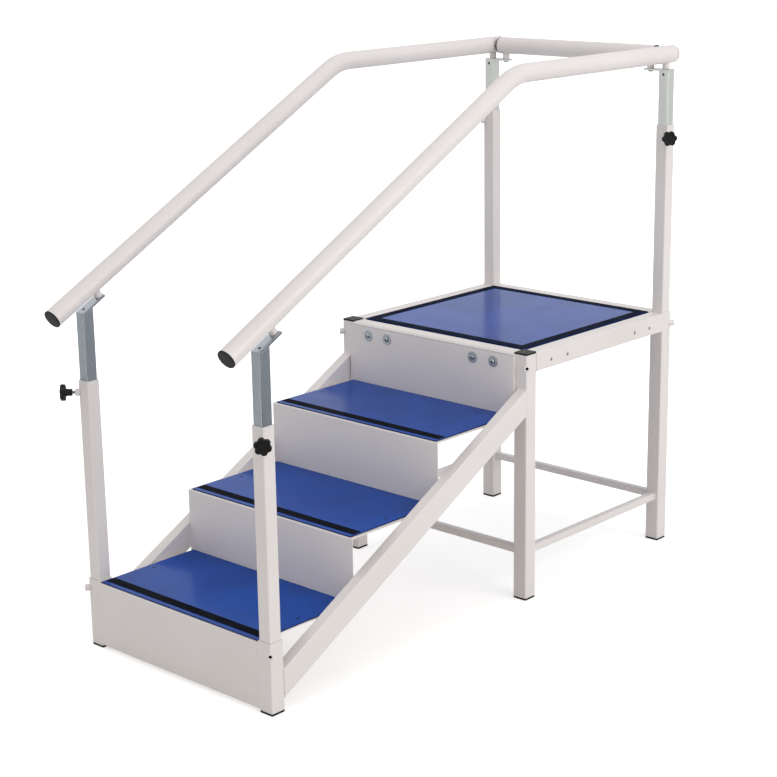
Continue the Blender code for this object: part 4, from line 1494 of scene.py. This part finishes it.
@dataclass
class Handrail:
    """The part that slides: inner tubes with plates, bent side rails, cross rail, caps and bolts."""

    palette: Palette
    slope: float
    radius: float = 0.0230
    bend_radius: float = 0.160
    bend_steps: int = 24
    sides: int = 64
    end_edge: float = 0.0006
    standoff: float = 0.0146
    plate: float = 0.005
    plate_setback: float = 0.0009
    stub_radius: float = 0.0096
    stub_weld: float = 0.0030
    front_stub_shift: float = 0.042
    cross_stub_inset: float = 0.017
    cap_height: float = 0.0035
    cap_edge: float = 0.0012
    cap_dome: float = 0.0003
    cap_plug: float = 0.003
    cap_depth: float = 0.004
    gap: float = 0.0003
    tube: float = 0.030
    tube_corner: float = 0.003
    tube_edge: float = 0.0005
    tube_weld: float = 0.0022

    def build(self) -> None:
        """Make the handrail."""
        for side_name, _ in SIDES:
            self.add_side_rail(side_name)
        self.add_cross_rail()
        self.add_inner_tubes()

    @staticmethod
    def rear_x() -> float:
        """X of the rear legs, below the cross rail."""
        return middle("platform_rear_foot_left").x

    def rail_axis(self, side_name: str) -> tuple[float, float]:
        """Y and height of the level part of a side rail's axis."""
        node = f"side_rail_{side_name}"
        return middle(node).y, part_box(node)[1].z - self.radius

    def low_end(self, side_name: str) -> Vector:
        """The point where the axis of a side rail starts, at its low front end."""
        low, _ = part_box(f"side_rail_{side_name}")
        return Vector((low.x + self.radius * math.sin(self.slope), self.rail_axis(side_name)[0],
                       low.z + self.radius * math.cos(self.slope)))

    def slope_height(self, side_name: str, x: float) -> float:
        """Height of the sloping part of a side rail's axis at x."""
        start = self.low_end(side_name)
        return start.z + math.tan(self.slope) * (x - start.x)

    def bent_tube(self, side_name: str, run: Vector, rear_x: float) -> Mesh:
        """The closed bent tube of a side rail.

        Args:
            side_name: left or right.
            run: Direction of its sloping part.
            rear_x: X of its rear end.

        Returns:
            The shell.
        """
        rail_y, top = self.rail_axis(side_name)
        start = self.low_end(side_name)
        corner_x = start.x + (top - start.z) / math.tan(self.slope)
        tangent = self.bend_radius * math.tan(self.slope / 2)
        bend_centre = Vector((corner_x + tangent, rail_y, top - self.bend_radius))
        bm = bmesh.new()
        bmesh.ops.create_circle(bm, segments=self.sides, radius=self.radius,
                                matrix=aimed(start, run, ACROSS))
        straight = (corner_x - start.x) / math.cos(self.slope) - tangent
        last, _ = extend(bm, bm.edges[:], run * straight)
        bent = bmesh.ops.spin(bm, geom=last, cent=bend_centre, axis=ACROSS, angle=self.slope,
                              steps=self.bend_steps)["geom_last"]
        last = [item for item in bent if isinstance(item, bmesh.types.BMEdge)]
        extend(bm, last, ALONG * (rear_x - bend_centre.x))
        return close_up(bm)

    def add_side_rail(self, side_name: str) -> None:
        """Add a bent side rail with its stubs and end caps.

        Args:
            side_name: left or right.
        """
        node = f"side_rail_{side_name}"
        rail_y, top = self.rail_axis(side_name)
        run = Vector((math.cos(self.slope), 0, math.sin(self.slope)))
        rear_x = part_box(node)[1].x
        piece = Piece(f"{node}_bent_tube", self.bent_tube(side_name, run, rear_x))
        foot_x = middle(f"front_foot_{side_name}").x + self.front_stub_shift
        x = foot_x - (self.radius + self.standoff) * math.sin(self.slope)
        for end, axis, along in (
                ("front", Vector((x, rail_y, self.slope_height(side_name, x))), run),
                ("rear", Vector((self.rear_x(), rail_y, top)), ALONG)):
            lift = along.cross(ACROSS)
            self.add_stub(piece, axis, lift, along)
            self.add_bolt(f"rail_bolt_{end}_{side_name}", axis, lift)
        piece.finish(self.palette.coat, node, Body.HANDRAIL.value)
        for end, place, out in (("front", self.low_end(side_name), -run),
                                ("rear", Vector((rear_x, rail_y, top)), ALONG)):
            cap = f"rail_cap_{end}_{side_name}"
            Piece(f"{cap}_plug").add(self.cap_shell(), aimed(place, out, ACROSS)).finish(
                self.palette.plastic, cap, Body.HANDRAIL.value)

    def add_cross_rail(self) -> None:
        """Add the cross rail with its stubs, bolts and end caps."""
        low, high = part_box("cross_rail")
        top = high.z - self.radius
        piece = Piece("cross_rail_tube")
        piece.add(rod(self.radius, high.y - low.y, self.end_edge, self.sides),
                  aimed(Vector((self.rear_x(), low.y, top)), ACROSS, ALONG))
        for side_name, side in SIDES:
            axis = Vector((self.rear_x(), side * (high.y - self.cross_stub_inset), top))
            self.add_stub(piece, axis, UP, ACROSS)
            self.add_bolt(f"cross_bolt_{side_name}", axis, UP)
            end = Vector((self.rear_x(), side * high.y, top))
            Piece(f"cross_cap_{side_name}").add(
                self.cap_shell(), aimed(end, ACROSS * side, ALONG)).finish(
                self.palette.plastic, body=Body.HANDRAIL.value)
        piece.finish(self.palette.coat, "cross_rail", Body.HANDRAIL.value)

    def add_stub(self, piece: Piece, axis: Vector, lift: Vector, along: Vector) -> None:
        """Add the stub that joins a rail to its plate, with a weld that follows the rail.

        Args:
            piece: The rail's piece.
            axis: Point on the rail's axis.
            lift: Where the stub points, up to the rail.
            along: Direction of the rail.
        """
        foot = axis - lift * (self.radius + self.standoff - self.gap)
        piece.add(rod(self.stub_radius, self.standoff + self.radius / 2, self.end_edge),
                  aimed(foot, lift, along))
        fillet = round_weld(self.stub_radius, self.stub_weld)
        for vert in fillet.verts:
            across = min(abs(vert.co.x), self.radius)
            vert.co.z += math.sqrt(self.radius ** 2 - across ** 2)
        piece.add(fillet, aimed(axis, -lift, along))

    def add_bolt(self, name: str, axis: Vector, lift: Vector) -> None:
        """Add the bolt that holds a stub, from below its plate.

        Args:
            name: Name of the piece.
            axis: Point on the rail's axis above the stub.
            lift: Where the stub points.
        """
        seat = axis - lift * (self.radius + self.standoff + self.plate)
        Piece(name).add(ButtonBolt().shell(), aimed(seat, -lift, ACROSS)).finish(
            self.palette.plated, body=Body.HANDRAIL.value)

    def cap_shell(self) -> Mesh:
        """The head of a tube cap with the start of its plug, along local Z from the tube's end.

        Returns:
            The shell.
        """
        height, edge = self.cap_height, self.cap_edge
        plug = self.radius - self.cap_plug
        return turned([(0.0, height), (self.radius * 0.6, height - self.cap_dome / 3),
                       (self.radius - edge, height - self.cap_dome),
                       (self.radius - edge * 0.3, height - edge / 2),
                       (self.radius, height - edge - self.cap_dome), (self.radius, self.gap),
                       (plug, self.gap), (plug, -self.cap_depth), (0.0, -self.cap_depth)], self.sides)

    def add_inner_tubes(self) -> None:
        """Add the inner tubes with their plates, and the welds below the free part of each plate."""
        drop = self.radius + self.standoff + self.plate
        narrow = self.tube - 2 * (self.tube_weld + self.plate_setback)
        wide = narrow + self.tube_weld + self.plate_setback
        shift = (wide - narrow) / 2
        down = aimed(Vector(), -UP, ACROSS)
        for side_name, side in SIDES:
            for end, foot in POST_FEET.items():
                node = f"inner_tube_{end}_{side_name}"
                place = middle(f"{foot}_{side_name}")
                if end == "front":
                    place.z = self.slope_height(side_name, place.x) - drop / math.cos(self.slope)
                    width, depth, move = wide, narrow, slanted(self.slope) @ at(shift, 0, 0)
                else:
                    place.z = self.rail_axis(side_name)[1] - drop
                    width, depth, move = narrow, wide, at(0, -side * shift, 0)
                weld = square_weld(width, depth, self.tube_corner, self.tube_weld)
                piece = Piece(f"{node}_slider", bevelled_copy(node, self.tube_edge))
                piece.add(weld, Matrix.Translation(place) @ move @ down)
                piece.finish(self.palette.zinc[end], node, Body.HANDRAIL.value)


@dataclass
class Studio:
    """Camera at the photograph's viewing angle, pale floor, white surroundings and soft lamps."""

    place: Vector
    azimuth: float = math.radians(42.72)
    elevation: float = math.radians(15.24)
    roll: float = math.radians(-0.87)
    lens: float = 84.74
    sensor: float = 36.0
    view_end: float = 60.0
    floor_size: float = 30.0
    shade_start: float = 0.7
    shade_end: float = 2.4
    shade_glow: float = 0.5
    mirrored_glow: float = 0.25
    world_light: float = 0.66
    aim_height: float = 0.6

    def build(self) -> None:
        """Make the camera, floor, reflection cards, world and lamps."""
        self.add_camera()
        self.add_floor()
        # Glowing cards that only reflections see: painted reflections on the metal and coat
        for name, centre, size, grey in (
                ("side_card", Vector((1.1, -2.8, 0.010)), (4.4, 3.2), "7A7F86"),
                ("camera_card", Vector((-2.4, -2.6, 0.012)), (2.8, 3.4), "1C1E22"),
                ("front_card", Vector((-3.0, 2.6, 0.014)), (3.4, 3.6), "BFC2C4")):
            self.add_card(name, centre, size, grey)
        self.add_world()
        for name, spot, size, power in (
                ("key_lamp", Vector((0.6, -4.4, 2.2)), 3.0, 74.0),
                ("top_lamp", Vector((0.2, 0.0, 4.4)), 3.4, 22.0),
                ("front_lamp", Vector((-4.4, 0.8, 1.6)), 2.6, 8.0)):
            self.add_lamp(name, spot, size, power)

    def add_camera(self) -> None:
        """Add the camera."""
        forward = Vector((math.cos(self.elevation) * math.cos(self.azimuth),
                          math.cos(self.elevation) * math.sin(self.azimuth),
                          -math.sin(self.elevation)))
        right = forward.cross(UP).normalized()
        turn = Matrix.Rotation(self.roll, 3, "Z")
        axes = Matrix((right, right.cross(forward), -forward)).transposed() @ turn
        data = bpy.data.cameras.new("camera")
        data.lens = self.lens
        data.sensor_width = self.sensor
        data.clip_end = self.view_end
        camera = bpy.data.objects.new("camera", data)
        camera.matrix_world = Matrix.Translation(self.place) @ axes.to_4x4()
        bpy.context.scene.collection.objects.link(camera)
        bpy.context.scene.camera = camera

    @staticmethod
    def add_sheet(name: str, centre: Vector, size: tuple[float, float],
                  material: bpy.types.Material) -> bpy.types.Object:
        """Add a level sheet of the studio.

        Args:
            name: Name of the sheet.
            centre: Its middle.
            size: Sizes along X and Y.
            material: Its material.

        Returns:
            The object.
        """
        bm = bmesh.new()
        bmesh.ops.create_grid(bm, x_segments=1, y_segments=1, size=0.5)
        bmesh.ops.scale(bm, vec=(*size, 1.0), verts=bm.verts[:])
        bmesh.ops.translate(bm, vec=centre, verts=bm.verts[:])
        mesh = bpy.data.meshes.new(name)
        bm.to_mesh(mesh)
        bm.free()
        mesh.materials.append(material)
        sheet = bpy.data.objects.new(name, mesh)
        bpy.context.scene.collection.objects.link(sheet)
        return sheet

    def add_floor(self) -> None:
        """Add the floor, which looks white except where the object shades it."""
        material = bpy.data.materials.new("pale_floor")
        tree = blank_tree(material)
        path = add_node(tree, "ShaderNodeLightPath")
        place = add_node(tree, "ShaderNodeTexCoord").outputs["Object"]
        reach = add_node(tree, "ShaderNodeVectorMath", {"operation": "LENGTH"}, {0: place})
        ramp = add_node(tree, "ShaderNodeMapRange",
                        {"From Min": self.shade_start, "From Max": self.shade_end,
                         "To Min": self.shade_glow, "To Max": 1.0},
                        {"Value": reach.outputs["Value"]})
        # The lamps light the paper to three quarters of white, and reflections need only the rest
        mirrored = add_node(tree, "ShaderNodeMath", {"operation": "MULTIPLY", 1: self.mirrored_glow},
                            {0: path.outputs["Is Glossy Ray"]})
        glow = add_node(tree, "ShaderNodeMath", {"operation": "MULTIPLY_ADD"},
                        {0: path.outputs["Is Camera Ray"], 1: ramp.outputs["Result"],
                         2: mirrored.outputs["Value"]})
        paint = add_node(tree, "ShaderNodeBsdfDiffuse", {"Color": linear("E8E7E5")})
        light = add_node(tree, "ShaderNodeEmission", {"Color": linear("FFFFFF")},
                         {"Strength": glow.outputs["Value"]})
        both = add_node(tree, "ShaderNodeAddShader",
                        links={0: paint.outputs["BSDF"], 1: light.outputs["Emission"]})
        add_node(tree, "ShaderNodeOutputMaterial", links={"Surface": both.outputs["Shader"]})
        self.add_sheet("floor", Vector(), (self.floor_size, self.floor_size), material)

    def add_card(self, name: str, centre: Vector, size: tuple[float, float], grey: str) -> None:
        """Add a glowing grey card on the floor that only reflections see: a painted reflection that
        draws the bright metal.

        Args:
            name: Name of the card.
            centre: Its middle.
            size: Sizes along X and Y.
            grey: Its colour.
        """
        material = bpy.data.materials.new(f"{name}_paper")
        tree = blank_tree(material)
        painted_reflection = add_node(tree, "ShaderNodeEmission", {"Color": linear(grey)})
        add_node(tree, "ShaderNodeOutputMaterial", links={"Surface": painted_reflection.outputs["Emission"]})
        card = self.add_sheet(name, centre, size, material)
        card.visible_camera = card.visible_diffuse = card.visible_shadow = False

    def add_world(self) -> None:
        """Add white surroundings that light the object at a plain level."""
        world = bpy.data.worlds.new("white_surroundings")
        tree = blank_tree(world)
        path = add_node(tree, "ShaderNodeLightPath")
        seen = add_node(tree, "ShaderNodeMath", {"operation": "MAXIMUM"},
                        {0: path.outputs["Is Camera Ray"], 1: path.outputs["Is Glossy Ray"]})
        through = add_node(tree, "ShaderNodeMath", {"operation": "MAXIMUM"},
                           {0: seen.outputs["Value"], 1: path.outputs["Is Transmission Ray"]})
        strength = add_node(tree, "ShaderNodeMapRange", {"To Min": self.world_light, "To Max": 1.0},
                            {"Value": through.outputs["Value"]})
        background = add_node(tree, "ShaderNodeBackground", {"Color": linear("FFFFFF")},
                              {"Strength": strength.outputs["Result"]})
        add_node(tree, "ShaderNodeOutputWorld", links={"Surface": background.outputs["Background"]})
        bpy.context.scene.world = world

    def add_lamp(self, name: str, place: Vector, size: float, power: float) -> None:
        """Add a square soft lamp that points at the middle of the object.

        Args:
            name: Name of the lamp.
            place: Where it hangs.
            size: Length of its side.
            power: Its power in watts.
        """
        data = bpy.data.lights.new(name, "AREA")
        data.shape = "SQUARE"
        data.size = size
        data.energy = power
        lamp = bpy.data.objects.new(name, data)
        lamp.matrix_world = aimed(place, place - UP * self.aim_height, Vector((0, 0.01, 1)))
        lamp.visible_camera = False
        bpy.context.scene.collection.objects.link(lamp)


def main() -> None:
    """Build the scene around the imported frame."""
    logging.basicConfig(level=logging.INFO, format="%(message)s")
    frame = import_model()
    bpy.context.scene.view_settings.view_transform = "Standard"
    hinge = "knob_turn_"
    pivots = {joint["name"].removeprefix(hinge): Vector(joint["pos_m"])
              for joint in frame["joints"] if joint["name"].startswith(hinge)}
    palette = Palette()
    flight = Flight(palette)
    for part in (Legs(palette), Platform(palette), flight, RiserPanel(palette),
                 Posts(palette, pivots), Handrail(palette, flight.slope),
                 Studio(place=Vector((-3.276656, -3.034, 1.763)))):
        LOG.info("Building %s", type(part).__name__)
        part.build()


if __name__ == "__main__":
    main()
